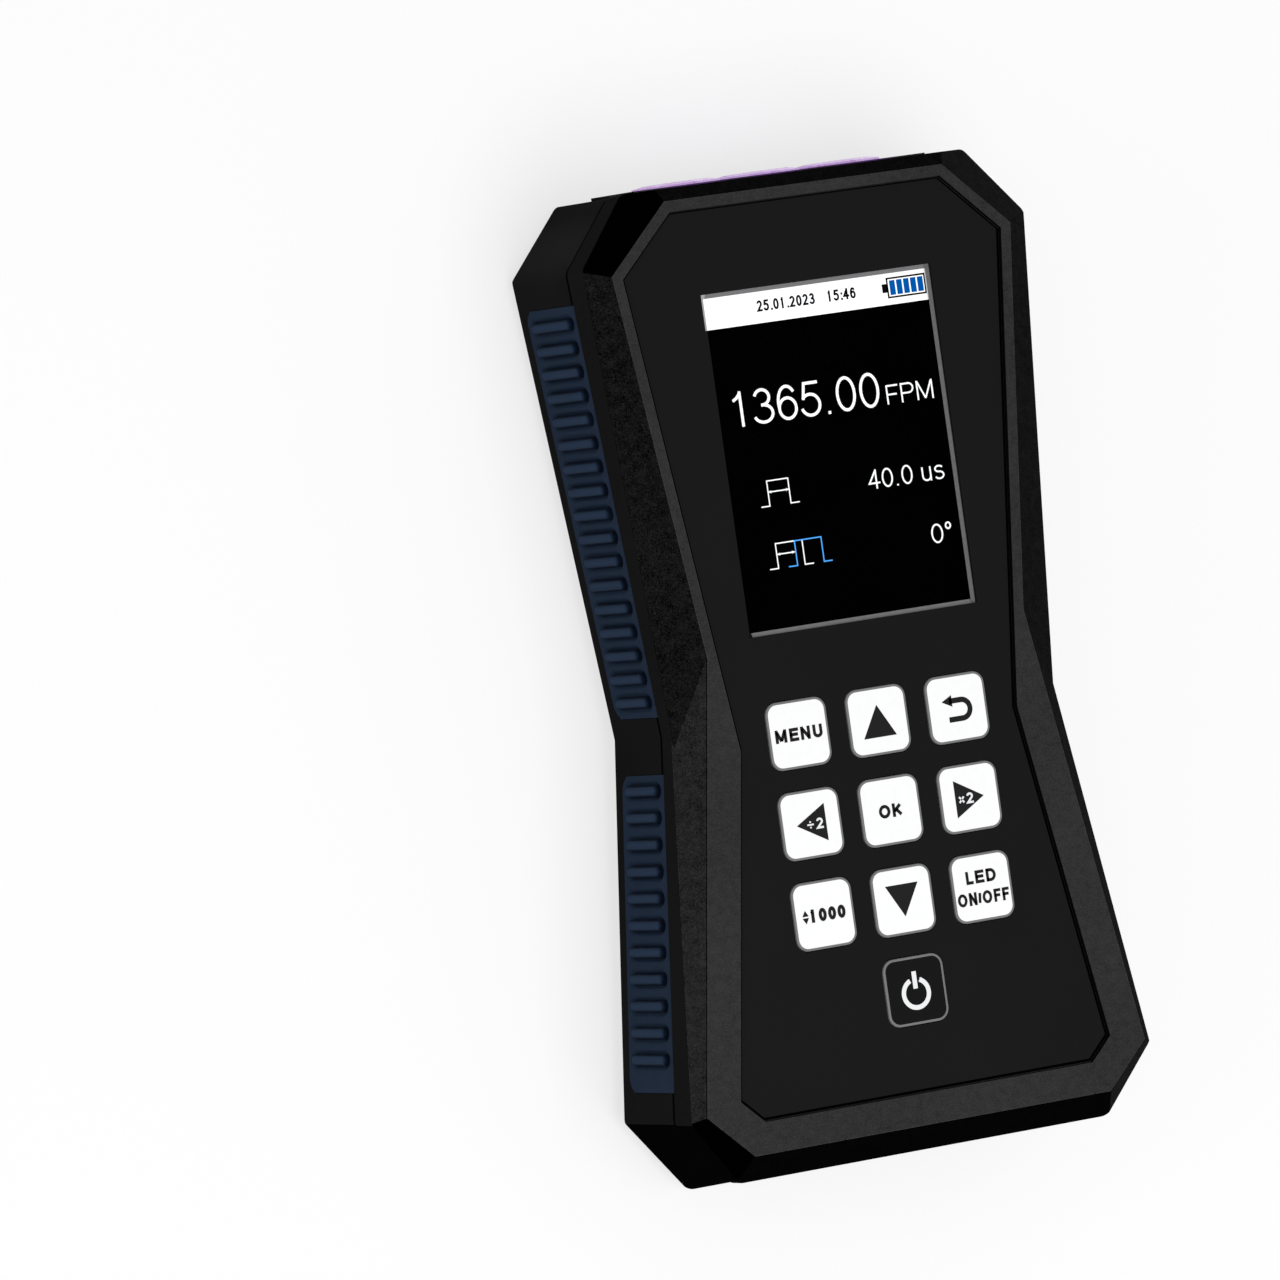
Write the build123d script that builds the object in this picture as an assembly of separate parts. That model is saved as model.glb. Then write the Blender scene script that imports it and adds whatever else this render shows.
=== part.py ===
"""Hand-held ultraviolet stroboscope, in millimetres.

X is the width, +Y points to the light head, +Z to the display.  The case lies on
its four rubber feet, and the origin is under the middle of its box, on the ground.
The case is an hourglass with cut corners in plan: two shells, parted all round,
whose flat bevels are planes through the edges of the rim and of the back.
"""
import os
from math import cos, hypot, pi, sin

from build123d import *

os.makedirs("parts", exist_ok=True)

# Levels of the case and its ends
parting_drop = 8.0
pad_height = 1.0
lens_proud = 1.0
foot_rake = 1.6
reveal = 0.3
overrun = 1.0

# Display, and how far it lies from the head end
display_width = 43.2
display_height = 56.8
display_from_head = 18.1
display_bevel = 0.7
frame_width = 1.4
frame_depth = 0.35
frame_gap = 0.15
window_thickness = 0.4
lcd_side_margin = 3.4
lcd_end_margin = 6.2
lcd_body_depth = 2.6
lcd_body_gap = 0.1

# Keys, and how far they lie from the display and from the foot end
key_size = 11.3
key_space = 3.7
display_to_keys = 11.15
keys_to_foot = 22.65
key_corner_radius = 2.1
key_corner_flats = 6
key_proud = 0.3
key_travel = 0.3
key_gap = 0.15
key_seat_gap = 0.05
key_flange = 0.7
key_flange_depth = 0.8
key_stem = 4.0
key_over_dome = 0.1
dome_radius = 3.6
dome_sides = 8
dome_height = 0.3
mat_thickness = 0.5
mat_border = 0.6

# Light head
lens_sides = 6
lens_radius = 7.4
lens_bridge = 0.3
lens_below_parting = 8.5
lens_gap = 0.1
lens_shoulder = 0.35
lens_table_radius = 5.4
lens_dimple_radius = 3.9
lens_dimple_depth = 0.3
lens_flange_margin = 0.3
lens_flange_side_gap = 0.1
lens_flange = 1.0
lens_body_length = 8.0
lens_body_step = 0.5
lens_body_back_radius = 3.9
lens_well_radius = 3.0
lens_well_depth = 2.2
plate_side_margin = 5.1
plate_below_lens = 9.5
plate_above_back = 5.0
plate_corner_radius = 3.6
plate_thickness = 1.6
plate_proud = 0.3
plate_gap = 0.1
plate_ledge = 1.4
led_size = 3.4
led_cap_size = 2.6
led_height = 1.4
led_board_side = 1.0
led_board_rise = 0.4
led_board_thickness = 1.6
sink_inset = 0.5
sink_top_drop = 1.3
sink_base = 4.0
sink_fin_length = 8.0
sink_fin_thickness = 1.6
sink_fin_count = 7

# Plan of the walls: margins outside the lens plate and the keys, and corner runs
head_end_margin = 4.6
head_corner_width = 9.4
head_corner_run = 11.5
waist_margin = 15.45
keys_to_waist = 3.15
foot_flare = 7.5
foot_corner_width = 8.6
foot_corner_run = 11.2
wall_corner_radius = 1.8

# Plan of the rim round the foil, from the walls
rim_head_side_inset = 4.1
rim_head_corner_width = 11.4
rim_head_setback = 2.1
rim_head_corner_run = 11.1
rim_waist_inset = 6.2
rim_waist_shift = 12.3
rim_foot_side_inset = 2.0
rim_foot_corner_width = 7.8
rim_foot_setback = 4.4
rim_foot_corner_run = 7.6
rim_edge_radius = 0.4

# Plan of the flat of the back, from the walls
back_head_side_inset = 2.2
back_head_corner_width = 11.6
back_head_setback = 0.6
back_head_corner_run = 11.6
back_waist_inset = 5.3
back_foot_side_inset = 4.3
back_foot_corner_width = 7.3
back_foot_setback = 4.3
back_foot_corner_run = 9.5
back_edge_radius = 0.4

# Fall of the bevels for each millimetre outwards
head_bevel_slope = 0.58
foot_bevel_slope = 1.17
back_bevel_slope = 1.0

# Shell walls and their joint
wall = 2.4
front_wall = 2.0
back_wall = 2.4
tongue_inset = 1.2
tongue_height = 1.2
joint_clearance = 0.1

# Foil and its recess
foil_thickness = 0.4
foil_sink = 0.5
foil_gap = 0.25
foil_head_margin = 1.8
foil_foot_side_margin = 6.2
foil_foot_corner_margin = 5.7
foil_foot_end_margin = 5.3

# Boards and screws
board_thickness = 1.6
board_margin = 0.9
board_screw_radius = 1.0
board_screw_head_radius = 2.0
board_screw_head = 1.3
board_screw_grip = 2.0
board_boss_radius = 2.5
board_screw_from_lcd = 3.5
board_screw_from_mat = 3.05
thread_gap = 0.02
pillar_radius = 3.3
pillar_gap = 0.4
pillar_from_lcd = 6.0
pillar_from_head = 22.0
pillar_from_foot_side = 11.1
pillar_from_foot = 25.0
case_screw_radius = 1.3
case_screw_head_radius = 2.7
case_screw_head = 2.0
case_screw_sink = 1.2
case_screw_gap = 0.3
case_screw_grip = 3.4

# Sides of the round pieces hidden in the case, and of the round holes in its back
inner_sides = 12
pocket_sides = 24

# Battery, socket and tripod bush
battery_width = 48.0
battery_length = 54.0
battery_thickness = 8.5
battery_from_sink = 3.1
battery_corner_radius = 2.5
battery_pad_thickness = 0.5
battery_pad_border = 3.0
usb_width = 9.0
usb_height = 3.2
usb_length = 7.4
usb_wall = 0.35
usb_sink = 1.0
usb_gap = 0.3
usb_blade_width = 6.6
usb_blade = 0.7
usb_blade_setback = 0.8
bush_from_battery = 13.0
bush_radius = 5.5
bush_length = 8.0
bush_bore_radius = 2.6
bush_bore_depth = 6.8
bush_flange_step = 1.5
bush_flange = 1.0
bush_wall = 1.8

# Feet, and how far each lies from its walls
pad_radius = 5.0
pad_sink = 0.5
pad_gap = 0.1
pad_from_head_side = 8.5
pad_from_head = 13.5
pad_from_foot_side = 11.1
pad_from_foot = 14.8

# Grip inlays in the side walls
grip_depth = 1.0
grip_gap = 0.08
grip_lower_margin = 2.5
grip_corner_radius = 2.6
grip_proud = 0.1
upper_grip_from_corner = 5.3
upper_grip_from_waist = 3.4
upper_rib_margin = 2.6
upper_first_rib = 3.0
upper_rib_pitch = 3.96
lower_grip_from_waist = 5.9
lower_grip_from_corner = 5.0
lower_rib_margin = 2.6
lower_first_rib = 2.6
lower_rib_pitch = 4.43
rib_width = 2.1
rib_corner = 0.6
rib_height = 0.7
rib_taper = 22.0
rib_top_margin = 2.1
rib_foot_margin = 1.7

# Key names, row by row from the display down
key_rows = (
    ("key_menu", "key_up", "key_back"),
    ("key_halve", "key_ok", "key_double"),
    ("key_step", "key_down", "key_led"),
    ("key_power",),
)

# Sizes of the inner pieces that follow from those above
key_pitch = key_size + key_space
keypad_length = (len(key_rows) - 1) * key_pitch + key_size
keypad_half = (len(key_rows[0]) - 1) * key_pitch / 2 + key_size / 2
mat_margin = key_flange + mat_border
lcd_width = display_width + 2 * lcd_side_margin
lcd_height = display_height + 2 * lcd_end_margin
frame_outer_width = display_width + 2 * frame_width
frame_outer_height = display_height + 2 * frame_width
lens_pitch = 2 * lens_radius + lens_bridge
plate_width = 2 * (lens_pitch + lens_radius + plate_side_margin)
plate_height = lens_below_parting + plate_below_lens
led_board_width = 2 * (lens_pitch + lens_radius + led_board_side)
led_board_height = 2 * (lens_radius + led_board_rise)

# Half widths of the walls
head_end_half = plate_width / 2 + head_end_margin
head_side_half = head_end_half + head_corner_width
waist_half = keypad_half + waist_margin
foot_side_half = waist_half + foot_flare

# Levels
parting_z = pad_height + plate_above_back + plate_height
rim_z = parting_z + parting_drop
foil_z = rim_z - foil_sink - foil_thickness
ceiling_z = foil_z - front_wall
floor_z = pad_height + back_wall
window_z = foil_z - frame_depth - window_thickness
lcd_body_top = ceiling_z - lcd_body_gap
board_z = lcd_body_top - lcd_body_depth
board_under_z = board_z - board_thickness
lens_z = parting_z - lens_below_parting
plate_low_z = parting_z - plate_height
sink_top = lens_z + led_board_height / 2 - sink_top_drop
battery_z = floor_z + battery_pad_thickness
bush_flange_z = pad_height + bush_length - bush_flange
mat_top_z = board_z + mat_thickness
key_foot_z = mat_top_z + dome_height + key_over_dome + key_travel

# Places along the case
case_length = display_from_head + display_height + display_to_keys + keypad_length + keys_to_foot
head_y = (case_length - lens_proud) / 2
foot_y = head_y - case_length
foot_wall_y = foot_y + foot_rake
display_y = head_y - display_from_head - display_height / 2
keypad_top_y = display_y - display_height / 2 - display_to_keys
first_row_y = keypad_top_y - key_size / 2
last_row_y = keypad_top_y - keypad_length + key_size / 2
waist_y = keypad_top_y - keys_to_waist
plate_front_y = head_y + plate_proud
plate_back_y = plate_front_y - plate_thickness
led_board_front_y = plate_back_y - lens_flange - lens_body_length
led_board_back_y = led_board_front_y - led_board_thickness
sink_back_y = led_board_back_y - sink_base - sink_fin_length
battery_y = sink_back_y - battery_from_sink - battery_length / 2
bush_y = battery_y - battery_length / 2 - bush_from_battery

# Places of the fasteners and feet on the right-hand side
pillar_places = (
    (lcd_width / 2 + pillar_from_lcd, head_y - pillar_from_head),
    (foot_side_half - pillar_from_foot_side, foot_y + pillar_from_foot),
)
board_screw_places = (
    (lcd_width / 2 + board_screw_from_lcd, display_y),
    (keypad_half + mat_margin + board_screw_from_mat, last_row_y + key_pitch / 2),
)
pad_places = (
    (head_side_half - pad_from_head_side, head_y - pad_from_head),
    (foot_side_half - pad_from_foot_side, foot_y + pad_from_foot),
)


def cross(line_a, line_b):
    """Point where two lines meet, each given as a point and a direction."""
    (ax, ay), (ux, uy) = line_a
    (bx, by), (vx, vy) = line_b
    along = ((bx - ax) * vy - (by - ay) * vx) / (ux * vy - uy * vx)
    return (ax + along * ux, ay + along * uy)


def inset_outline(half, margins):
    """Half outline whose six edges have moved inwards, each by its own margin."""
    ends = [(-half[0][0], half[0][1])] + half + [(-half[-1][0], half[-1][1])]
    lines = []
    for a, b, margin in zip(ends, ends[1:], margins):
        dx, dy = b[0] - a[0], b[1] - a[1]
        run = hypot(dx, dy)
        lines.append(((a[0] + dy / run * margin, a[1] - dx / run * margin), (dx, dy)))
    return [cross(p, q) for p, q in zip(lines, lines[1:])]


def even_inset(half, margin):
    """Half outline moved inwards by one margin all round."""
    return inset_outline(half, [margin, *(margin for point in half)])


def on_line(a, b, y):
    """Point of the line through a and b at this place along Y."""
    return (a[0] + (b[0] - a[0]) * (y - a[1]) / (b[1] - a[1]), y)


def outline_face(half):
    """Flat face inside a half outline and its mirror image."""
    points = half + [(-x, y) for x, y in reversed(half)]
    return make_face(Polyline(*points, close=True))


def prism(half, low, high, radius=0):
    """Upright prism on a half outline, its corners rounded if a radius is given."""
    face = outline_face(half)
    if radius:
        face = fillet(face.vertices(), radius)
    return Pos(0, 0, low) * extrude(face, high - low)


def bevel_planes(a, b, face_z, slope, shrink, up):
    """The bevel through one rim edge and its mirror image, moved in by shrink."""
    dx, dy = b[0] - a[0], b[1] - a[1]
    run = hypot(dx, dy)
    normal = Vector(-dy / run * slope, dx / run * slope, up).normalized()
    start = Vector(a[0], a[1], face_z) - normal * shrink
    planes = [Plane(origin=start, z_dir=normal)]
    if dy:
        other = Vector(-normal.X, normal.Y, normal.Z)
        planes.append(Plane(origin=Vector(-start.X, start.Y, start.Z), z_dir=other))
    return planes


def bevelled_block(plan, rim, slopes, low, high, face_z, up, shrink=0, radius=0):
    """Hourglass block between two levels, cut by the bevels through its rim.

    It is the sum of two convex blocks, one tapering from the head and one from the
    foot, so that the bevels also meet in a straight crease at the waist.
    """
    head = [plan[0], plan[1], on_line(plan[1], plan[2], rim[3][1])]
    foot = [on_line(plan[3], plan[2], rim[1][1]), plan[3], plan[4]]
    head_edges = ((-rim[0][0], rim[0][1]), rim[0], rim[1], rim[2])
    foot_edges = (rim[2], rim[3], rim[4], (-rim[4][0], rim[4][1]))
    blocks = []
    for half, edges, slope in ((head, head_edges, slopes[0]), (foot, foot_edges, slopes[1])):
        block = prism(half, low, high, radius)
        for a, b in zip(edges, edges[1:]):
            for plane in bevel_planes(a, b, face_z, slope, shrink, up):
                block = split(block, bisect_by=plane, keep=Keep.BOTTOM)
        blocks.append(block)
    return blocks[0] + blocks[1]


def drum(radius, low, high, x=0, y=0):
    """Upright cylinder between two levels."""
    return Pos(x, y, low) * extrude(Circle(radius), high - low)


def post(radius, low, high, x=0, y=0, sides=inner_sides):
    """Upright many-sided post or hole between two levels, for round pieces out of sight."""
    return Pos(x, y, low) * extrude(RegularPolygon(radius, sides), high - low)


def block_between(width, length, low, high, x=0, y=0):
    """Upright block between two levels."""
    return Pos(x, y, low) * extrude(Rectangle(width, length), high - low)


def key_block(size, radius, low, high, x, y):
    """Upright square block between two levels, each rounded corner in a few short flats."""
    reach = size / 2 - radius
    points = []
    for corner in range(4):
        middle = Vector(reach, reach).rotate(Axis.Z, 90 * corner)
        for flat in range(key_corner_flats + 1):
            turn = 90 * (corner + flat / key_corner_flats)
            points.append(middle + Vector(radius, 0).rotate(Axis.Z, turn))
    return Pos(x, y, low) * extrude(make_face(Polyline(*points, close=True)), high - low)


def pairs(places):
    """Each place on the right and on the left, as X and Y."""
    for x, y in places:
        yield x, y
        yield -x, y


def hourglass(end_half, side_half, waist, foot_half, foot_end, places):
    """Half outline: head end, head side, waist, foot side and foot end."""
    return list(zip((end_half, side_half, waist, foot_half, foot_end), places))


wall_plan = hourglass(
    head_end_half, head_side_half, waist_half, foot_side_half, foot_side_half - foot_corner_width,
    (head_y, head_y - head_corner_run, waist_y, foot_wall_y + foot_corner_run, foot_wall_y))

rim_head_half = head_side_half - rim_head_side_inset
rim_foot_half = foot_side_half - rim_foot_side_inset
rim_head_y = head_y - rim_head_setback
rim_foot_y = foot_wall_y + rim_foot_setback
rim_plan = hourglass(
    rim_head_half - rim_head_corner_width, rim_head_half, waist_half - rim_waist_inset,
    rim_foot_half, rim_foot_half - rim_foot_corner_width,
    (rim_head_y, rim_head_y - rim_head_corner_run, waist_y + rim_waist_shift,
     rim_foot_y + rim_foot_corner_run, rim_foot_y))

back_head_half = head_side_half - back_head_side_inset
back_foot_half = foot_side_half - back_foot_side_inset
back_head_y = head_y - back_head_setback
back_foot_y = foot_y + back_foot_setback
back_plan = hourglass(
    back_head_half - back_head_corner_width, back_head_half, waist_half - back_waist_inset,
    back_foot_half, back_foot_half - back_foot_corner_width,
    (back_head_y, back_head_y - back_head_corner_run, waist_y,
     back_foot_y + back_foot_corner_run, back_foot_y))

foil_margins = [
    foil_head_margin,
    foil_head_margin,
    foil_head_margin,
    foil_foot_side_margin,
    foil_foot_corner_margin,
    foil_foot_end_margin,
]
recess_plan = inset_outline(rim_plan, foil_margins)
foil_plan = even_inset(recess_plan, foil_gap)
rear_foot_corner = on_line(wall_plan[3], wall_plan[4], foot_y - reveal)
rear_wall_plan = even_inset(wall_plan[:4] + [rear_foot_corner], reveal)
cavity_plan = even_inset(wall_plan, wall)
board_plan = even_inset(wall_plan, wall + board_margin)
front_slopes = (head_bevel_slope, foot_bevel_slope)
back_slopes = (back_bevel_slope, back_bevel_slope)


def place_keys():
    """Middle of each key in plan, by name."""
    places = {}
    for row, names in enumerate(key_rows):
        for column, name in enumerate(names):
            x = (column - (len(names) - 1) / 2) * key_pitch
            places[name] = (x, first_row_y - row * key_pitch)
    return places


key_centres = place_keys()


def key_holes(low, high):
    """The ten square holes of the front shell that the key caps pass through."""
    hole = key_size + 2 * key_gap
    return [block_between(hole, hole, low, high, x, y) for x, y in key_centres.values()]


def socket_hole():
    """Mouth for a plug, through the end walls of both shells."""
    width = usb_width + 2 * usb_gap
    height = usb_height + 2 * usb_gap
    mouth = RectangleRounded(width, height, height / 2 - usb_gap / 2)
    middle = board_under_z - usb_height / 2
    depth = foot_rake + wall + 2 * overrun
    start = Plane(origin=(0, foot_y - overrun, middle), x_dir=(-1, 0, 0), z_dir=(0, 1, 0))
    return start * extrude(mouth, depth)


def make_front_shell():
    """Front shell: rim, bevels, foil recess, openings, pillars and board bosses."""
    shell = bevelled_block(wall_plan, rim_plan, front_slopes, parting_z, rim_z, rim_z, 1,
                           radius=wall_corner_radius)
    shell = fillet(shell.faces().sort_by(Axis.Z)[-1].outer_wire().edges(), rim_edge_radius)
    shell -= bevelled_block(cavity_plan, rim_plan, front_slopes, parting_z - overrun, ceiling_z,
                            rim_z, 1, shrink=wall)
    shell -= prism(even_inset(wall_plan, tongue_inset - joint_clearance),
                   parting_z - overrun, parting_z + tongue_height + joint_clearance)
    shell -= prism(recess_plan, foil_z, rim_z + overrun)
    shell -= block_between(frame_outer_width + 2 * frame_gap, frame_outer_height + 2 * frame_gap,
                           ceiling_z - overrun, rim_z, y=display_y)
    for hole in key_holes(ceiling_z - overrun, rim_z):
        shell -= hole
    for x, y in pairs(pillar_places):
        shell += post(pillar_radius, parting_z, ceiling_z + front_wall / 2, x, y)
        shell -= post(case_screw_radius + thread_gap, parting_z - overrun,
                      parting_z + case_screw_grip + thread_gap, x, y)
    for x, y in pairs(board_screw_places):
        shell += post(board_boss_radius, board_z, ceiling_z + front_wall / 2, x, y)
        shell -= post(board_screw_radius + thread_gap, board_z - overrun,
                      board_z + board_screw_grip + thread_gap, x, y)
    return shell - socket_hole()


def wall_frame(a, b):
    """Plane on a right-hand side wall: x runs from a to b, z points outwards."""
    along = Vector(b[0] - a[0], b[1] - a[1], 0).normalized()
    outward = Vector(-along.Y, along.X, 0)
    return Plane(origin=(a[0], a[1], parting_z), x_dir=along, z_dir=outward)


def lower_edge_drop(point, a, b):
    """How far below the parting line a side wall ends at a point, above the bevel."""
    dx, dy = b[0] - a[0], b[1] - a[1]
    inset = abs((point[0] - a[0]) * dy - (point[1] - a[1]) * dx) / hypot(dx, dy)
    return parting_z - pad_height - inset * back_bevel_slope


def grip_places():
    """Side wall, its back edge, both ends and the ribs of each grip inlay, by name."""
    upper_wall = (rear_wall_plan[1], rear_wall_plan[2], back_plan[1], back_plan[2])
    lower_wall = (rear_wall_plan[2], rear_wall_plan[3], back_plan[2], back_plan[3])
    upper_start = wall_plan[1][1] - upper_grip_from_corner
    lower_end = wall_plan[3][1] + lower_grip_from_corner
    return {
        "upper": (upper_wall, upper_start, waist_y + upper_grip_from_waist,
                  upper_first_rib, upper_rib_pitch, upper_rib_margin),
        "lower": (lower_wall, waist_y - lower_grip_from_waist, lower_end,
                  lower_first_rib, lower_rib_pitch, lower_rib_margin),
    }


def grip_outline(side_wall, start, end, gap):
    """Outline of an inlay in its wall's plane: square above, rounded below."""
    a, b, back_a, back_b = side_wall
    first = on_line(a, b, start)
    last = on_line(a, b, end)
    left = hypot(first[0] - a[0], first[1] - a[1]) + gap
    right = hypot(last[0] - a[0], last[1] - a[1]) - gap
    left_drop = lower_edge_drop(first, back_a, back_b) - grip_lower_margin - gap
    right_drop = lower_edge_drop(last, back_a, back_b) - grip_lower_margin - gap
    up = wall_frame(a, b).y_dir.Z
    corners = [(left, 0), (right, 0), (right, -up * right_drop), (left, -up * left_drop)]
    face = make_face(Polyline(*corners, close=True))
    lower = [v for v in face.vertices() if abs(v.Y) > grip_corner_radius]
    return fillet(lower, grip_corner_radius), left, right, left_drop, right_drop, up


def grip_pockets():
    """Pockets for the inlays in the right-hand side walls."""
    pockets = []
    for side_wall, start, end, *ribs in grip_places().values():
        face = grip_outline(side_wall, start, end, 0)[0]
        frame = wall_frame(side_wall[0], side_wall[1])
        pocket = frame * Pos(0, 0, -grip_depth) * extrude(face, grip_depth + overrun)
        pockets.append(pocket)
    return pockets


def make_grip(side_wall, start, end, first_rib, pitch, margin):
    """Rubber inlay: a pad in its pocket with raised bars across it."""
    face, left, right, left_drop, right_drop, up = grip_outline(side_wall, start, end, grip_gap)
    frame = wall_frame(side_wall[0], side_wall[1])
    grip = frame * Pos(0, 0, -grip_depth) * extrude(face, grip_depth + grip_proud)
    rib_count = 1 + int((right - left - first_rib - margin) / pitch)
    for index in range(rib_count):
        place = left + first_rib + index * pitch
        share = (place - left) / (right - left)
        low = left_drop + (right_drop - left_drop) * share - rib_foot_margin
        bar = Rectangle(rib_width, low - rib_top_margin)
        bar = chamfer(bar.vertices(), rib_corner)
        middle = Pos(place, -up * (low + rib_top_margin) / 2, grip_proud)
        grip += frame * middle * extrude(bar, rib_height, taper=rib_taper)
    return grip


def plate_face(width, low, radius):
    """Lens plate outline on the head end: square above, rounded below."""
    height = parting_z - low
    face = Pos(0, low + height / 2) * Rectangle(width, height)
    lower = [v for v in face.vertices() if v.Y < parting_z - height / 2]
    return fillet(lower, radius)


def flat_sided(radius, sides):
    """Regular outline with a flat on the right and on the left."""
    return RegularPolygon(radius, sides, rotation=180 / sides)


def facing_out(y):
    """Upright plane that looks out of the head end, with its x axis to the left."""
    return Plane(origin=(0, y, 0), x_dir=(-1, 0, 0), z_dir=(0, 1, 0))


def on_head(face, near, far):
    """Solid on the head end between two places along Y, from a face drawn in X and Z."""
    return facing_out(near) * extrude(face, far - near)


def lens_places():
    """Name and place across of each lens, as drawn on the head end."""
    return {"lens_left": lens_pitch, "lens_centre": 0, "lens_right": -lens_pitch}


def make_rear_shell():
    """Rear shell: walls, tongue, pockets, light opening, pillars and bush boss."""
    shell = bevelled_block(rear_wall_plan, back_plan, back_slopes, pad_height, parting_z,
                           pad_height, -1, radius=wall_corner_radius)
    rake = Plane(origin=(0, foot_wall_y + reveal, parting_z),
                 z_dir=(0, -(parting_z - pad_height - back_foot_setback), foot_rake + reveal))
    shell = split(shell, bisect_by=rake, keep=Keep.BOTTOM)
    shell = fillet(shell.faces().sort_by(Axis.Z)[0].outer_wire().edges(), back_edge_radius)
    shell -= bevelled_block(cavity_plan, back_plan, back_slopes, floor_z, parting_z + overrun,
                            pad_height, -1, shrink=wall)
    tongue_low = parting_z - tongue_height
    tongue = prism(even_inset(wall_plan, tongue_inset), tongue_low, parting_z + tongue_height)
    shell += tongue - prism(cavity_plan, tongue_low - overrun, parting_z + tongue_height + overrun)
    plate_pocket = plate_face(plate_width + 2 * plate_gap, plate_low_z - plate_gap, plate_corner_radius)
    shell -= on_head(plate_pocket, plate_back_y, head_y + overrun)
    light_hole = plate_face(plate_width - 2 * plate_ledge, plate_low_z + plate_ledge, plate_corner_radius)
    shell -= on_head(light_hole, head_y - wall - overrun, head_y)
    above = Rectangle(plate_width + 2 * plate_gap, tongue_height + overrun, align=(Align.CENTER, Align.MIN))
    shell -= on_head(Pos(0, parting_z) * above, head_y - wall - overrun, head_y + overrun)
    for pocket in grip_pockets():
        shell -= pocket
        shell -= mirror(pocket, about=Plane.YZ)
    for x, y in pairs(pillar_places):
        shell += post(pillar_radius, floor_z - back_wall / 2, parting_z, x, y)
        shell -= post(case_screw_radius + case_screw_gap, 0, parting_z + overrun, x, y)
        shell -= post(case_screw_head_radius + case_screw_gap, 0,
                      pad_height + case_screw_sink + case_screw_head, x, y, pocket_sides)
    shell += post(bush_radius + bush_wall, floor_z - back_wall / 2, bush_flange_z, y=bush_y)
    shell -= post(bush_radius + joint_clearance, 0, rim_z, y=bush_y, sides=pocket_sides)
    for x, y in pairs(pad_places):
        shell -= post(pad_radius + pad_gap, 0, pad_height + pad_sink, x, y, pocket_sides)
    return shell - socket_hole()


def make_front_foil():
    """Thin printed foil in the recess, with the display cut-out and the key holes."""
    foil = prism(foil_plan, foil_z, foil_z + foil_thickness)
    foil -= block_between(display_width, display_height, foil_z - overrun, rim_z, y=display_y)
    hole = key_size + 2 * key_gap
    for x, y in key_centres.values():
        foil -= key_block(hole, key_corner_radius + key_gap, foil_z - overrun, rim_z, x, y)
    return foil


def make_display_frame():
    """Grey ring round the display, its inner edge sloping down to the picture."""
    ring = block_between(frame_outer_width, frame_outer_height, foil_z - frame_depth, foil_z, y=display_y)
    high = Rectangle(display_width, display_height)
    low = Rectangle(display_width - 2 * display_bevel, display_height - 2 * display_bevel)
    opening = loft([Pos(0, display_y, foil_z - frame_depth) * low, Pos(0, display_y, foil_z) * high])
    return ring - opening


def make_display_window():
    """Clear window that lies on the display panel."""
    return block_between(frame_outer_width, frame_outer_height, window_z,
                         window_z + window_thickness, y=display_y)


def make_lcd_panel():
    """Display panel: a body on the main board, and the glass that rises into the opening."""
    body = block_between(lcd_width, lcd_height, board_z, lcd_body_top, y=display_y)
    return body + block_between(frame_outer_width, frame_outer_height, lcd_body_top, window_z,
                                y=display_y)


def make_key(x, y):
    """Key: a cap through the foil, a flange that holds it in, and a stem."""
    top = foil_z + foil_thickness + key_proud
    cap_low = ceiling_z - key_seat_gap - key_flange_depth
    cap = key_block(key_size, key_corner_radius, cap_low, top, x, y)
    flange_size = key_size + 2 * key_flange
    cap += block_between(flange_size, flange_size, cap_low, ceiling_z - key_seat_gap, x, y)
    return cap + block_between(key_stem, key_stem, key_foot_z, cap_low, x, y)


def make_key_mat():
    """Switch mat on the main board, with a low dome under each key."""
    width = 2 * (keypad_half + mat_margin)
    length = keypad_length + 2 * mat_margin
    mat = block_between(width, length, board_z, mat_top_z, y=(first_row_y + last_row_y) / 2)
    for x, y in key_centres.values():
        mat += Pos(x, y, mat_top_z) * extrude(RegularPolygon(dome_radius, dome_sides), dome_height)
    return mat


def make_main_board():
    """Main board, with holes for the pillars and the board screws."""
    board = prism(board_plan, board_under_z, board_z)
    for x, y in pairs(pillar_places):
        board -= post(pillar_radius + pillar_gap, board_under_z - overrun, board_z + overrun, x, y)
    for x, y in pairs(board_screw_places):
        board -= post(board_screw_radius + thread_gap, board_under_z - overrun, board_z + overrun, x, y)
    return board


def make_board_screws():
    """Screws that hold the main board to the bosses of the front shell."""
    screws = []
    for x, y in pairs(board_screw_places):
        head = post(board_screw_head_radius, board_under_z - board_screw_head, board_under_z, x, y)
        screws.append(head + post(board_screw_radius, board_under_z, board_z + board_screw_grip, x, y))
    return Compound(children=screws)


def make_case_screws():
    """Screws that come in from the back and hold the two shells together."""
    screws = []
    head_low = pad_height + case_screw_sink
    for x, y in pairs(pillar_places):
        head = post(case_screw_head_radius, head_low, head_low + case_screw_head, x, y, pocket_sides)
        screws.append(head + post(case_screw_radius, head_low + case_screw_head,
                                  parting_z + case_screw_grip, x, y))
    return Compound(children=screws)


def make_lens_plate():
    """Plate on the head end with three six-sided openings."""
    plate = on_head(plate_face(plate_width, plate_low_z, plate_corner_radius), plate_back_y, plate_front_y)
    opening = flat_sided(lens_radius + lens_gap, lens_sides)
    for across in lens_places().values():
        plate -= on_head(Pos(across, lens_z) * opening, plate_back_y - overrun, plate_front_y + overrun)
    return plate


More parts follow.
